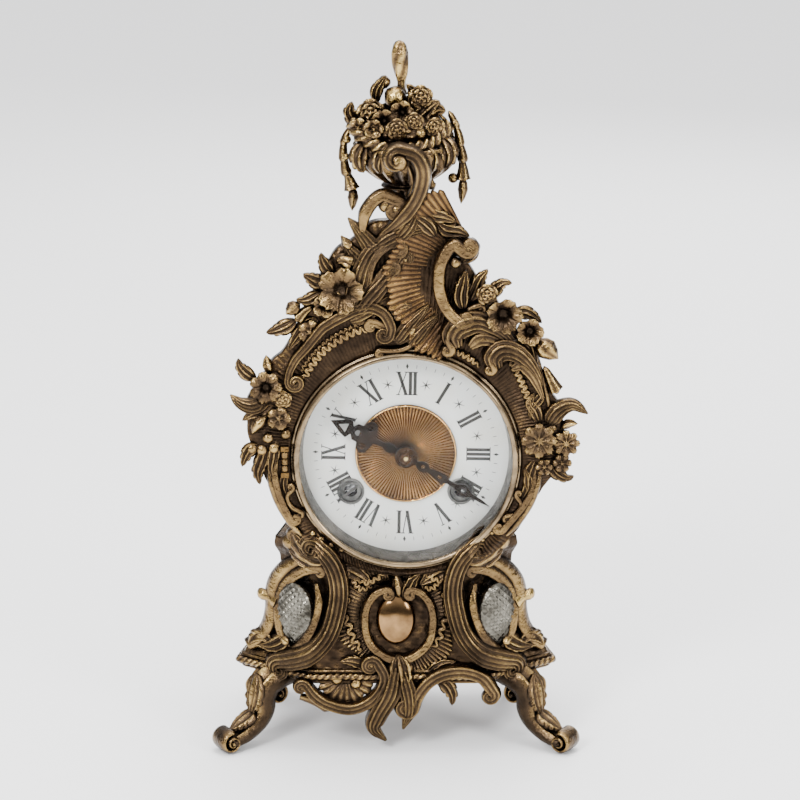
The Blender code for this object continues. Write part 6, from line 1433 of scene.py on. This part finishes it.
makePiece("dialCentreDisc", "case",
          aroundAxis(discSkin(discSizes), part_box("dial_centre_disc")[1].y), copperGilt,
          hides=["dial_centre_disc"])
for side in ("left", "right"):
    node = f"winding_grommet_{side}"
    low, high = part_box(node)
    profile = roundedProfile([(3.7, 0), (7.0, 0), (7.2, 1.9), (7.9, 2.0), (7.9, 2.4), (7.3, 2.9), (6.6, 2.9),
                              (6.3, 2.3), (6.2, 0.8),
                              (3.7, 0.7)], 4)
    skins = [(np.column_stack([(low.x + high.x) / 2 + p[:, 0] / 1000, dialFront + 0.0016 - p[:, 2] / 1000,
                               (low.z + high.z) / 2 + p[:, 1] / 1000]), q, t) for p, q,
                               t in revolve(profile, 72)]
    makePiece("windingGrommet" + side.title(), "case", skins, gromGrey, hides=[node])


# ---- every carried node gets its finish
finishes = {
    "dial": whiteEnamel, "front_plate": movementBrass, "back_plate": movementBrass,
    "movement_ring": movementBrass,
    "hour_hand": steelBlued, "minute_hand": steelBlued, "bell": steelBright,
    "going_mainspring": steelBlued, "strike_mainspring": steelBlued, "hammer": steelBright,
    "anchor": steelBright,
    "fly": steelBright, "pendulum_rod": steelBright, "rating_nut": movementBrass,
    "suspension_cock": movementBrass,
    "bell_stand": steelBright, "going_winding_arbor": steelBright, "strike_winding_arbor": steelBright,
    "going_click": steelBright, "strike_click": steelBright, "drum_body": darkBrass, "back_door": darkBrass,
    "back_hinge": darkBrass, "base_casting": darkBrass, "plinth_ledge": darkBrass, "bezel_hinge": darkBrass,
    "hand_nut": copperGilt,
}
for name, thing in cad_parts.items():
    if not thing.hide_render:
        for k in range(len(thing.material_slots)):
            thing.material_slots[k].material = finishes.get(name, movementBrass)
print("frame nodes finished")


# ---- floor, light and camera
floorLook, tree, shader, place = newMaterial("paleFloor")
shader.inputs["Base Color"].default_value = (0.97, 0.97, 0.97, 1)
shader.inputs["Roughness"].default_value = 0.9
shader.inputs["Specular IOR Level"].default_value = 0.1
floorMesh = bpy.data.meshes.new("floor")
a = np.linspace(0, tau, 64, endpoint=False)
rimPoints = np.column_stack([40 * np.cos(a), 40 * np.sin(a), np.full(64, cadLow.z - 0.00005)])
floorMesh.from_pydata(rimPoints.tolist(), [], [list(range(64))])
floorMesh.materials.append(floorLook)
floor = bpy.data.objects.new("floor", floorMesh)
bpy.context.scene.collection.objects.link(floor)

world = bpy.data.worlds.new("studio")
bpy.context.scene.world = world
world.use_nodes = True
sky = world.node_tree
sky.nodes.clear()
where = addNode(sky, "ShaderNodeTexCoord").outputs["Generated"]
height = addNode(sky, "ShaderNodeSeparateXYZ", {0: where}).outputs[2]
shade = rampNode(sky, addNode(sky, "ShaderNodeMapRange", {0: height, 1: -0.2, 2: 1.0}).outputs[0],
                 ((0.0, (0.40, 0.40, 0.40)), (0.16, (0.07, 0.07, 0.075)), (0.30, (0.11, 0.11, 0.12)),
                  (0.55, (0.40, 0.40, 0.41)), (0.80, (0.95, 0.95, 0.96)), (1.0, (1.0, 1.0, 1.0))))
back = addNode(sky, "ShaderNodeBackground", {0: shade, 1: 2.4})
addNode(sky, "ShaderNodeOutputWorld", {0: back.outputs[0]})

lamps = {   # place, size, power, what it looks at
    "keySoftbox": ((-0.70, -1.20, 1.10), 0.46, 27.0, (0, 0, 0.22)),
    "fillSoftbox": ((1.20, -1.10, 0.75), 0.46, 15.0, (0, 0, 0.20)),
    "topStrip": ((0.10, 0.10, 1.50), 0.80, 20.0, (0, 0, 0.2)),
    "rearLight": ((0.3, 1.4, 0.9), 0.9, 12.0, (0, 0, 0.2)),
}
for name, (where, size, power, target) in lamps.items():
    light = bpy.data.lights.new(name, "AREA")
    light.shape = "SQUARE"
    light.size = size
    light.energy = power
    lamp = bpy.data.objects.new(name, light)
    bpy.context.scene.collection.objects.link(lamp)
    way = np.array(target) - np.array(where)
    lamp.location = where
    lamp.rotation_euler = Vector(way).to_track_quat("-Z", "Y").to_euler()

cameraSizes = {"lens": 153.6, "away": 2.0, "above": 16.5, "target": (0.0006, 0.0, 0.2006)}
eye = bpy.data.cameras.new("camera")
eye.lens, eye.sensor_width = cameraSizes["lens"], 36.0
eye.clip_start, eye.clip_end = 0.05, 100.0
camera = bpy.data.objects.new("camera", eye)
bpy.context.scene.collection.objects.link(camera)
rise = math.radians(cameraSizes["above"])
tx, ty, tz = cameraSizes["target"]
camera.location = (tx, ty - cameraSizes["away"] * math.cos(rise), tz + cameraSizes["away"] * math.sin(rise))
camera.rotation_euler = (math.pi / 2 - rise, 0, 0)
bpy.context.scene.camera = camera
print("stage set")
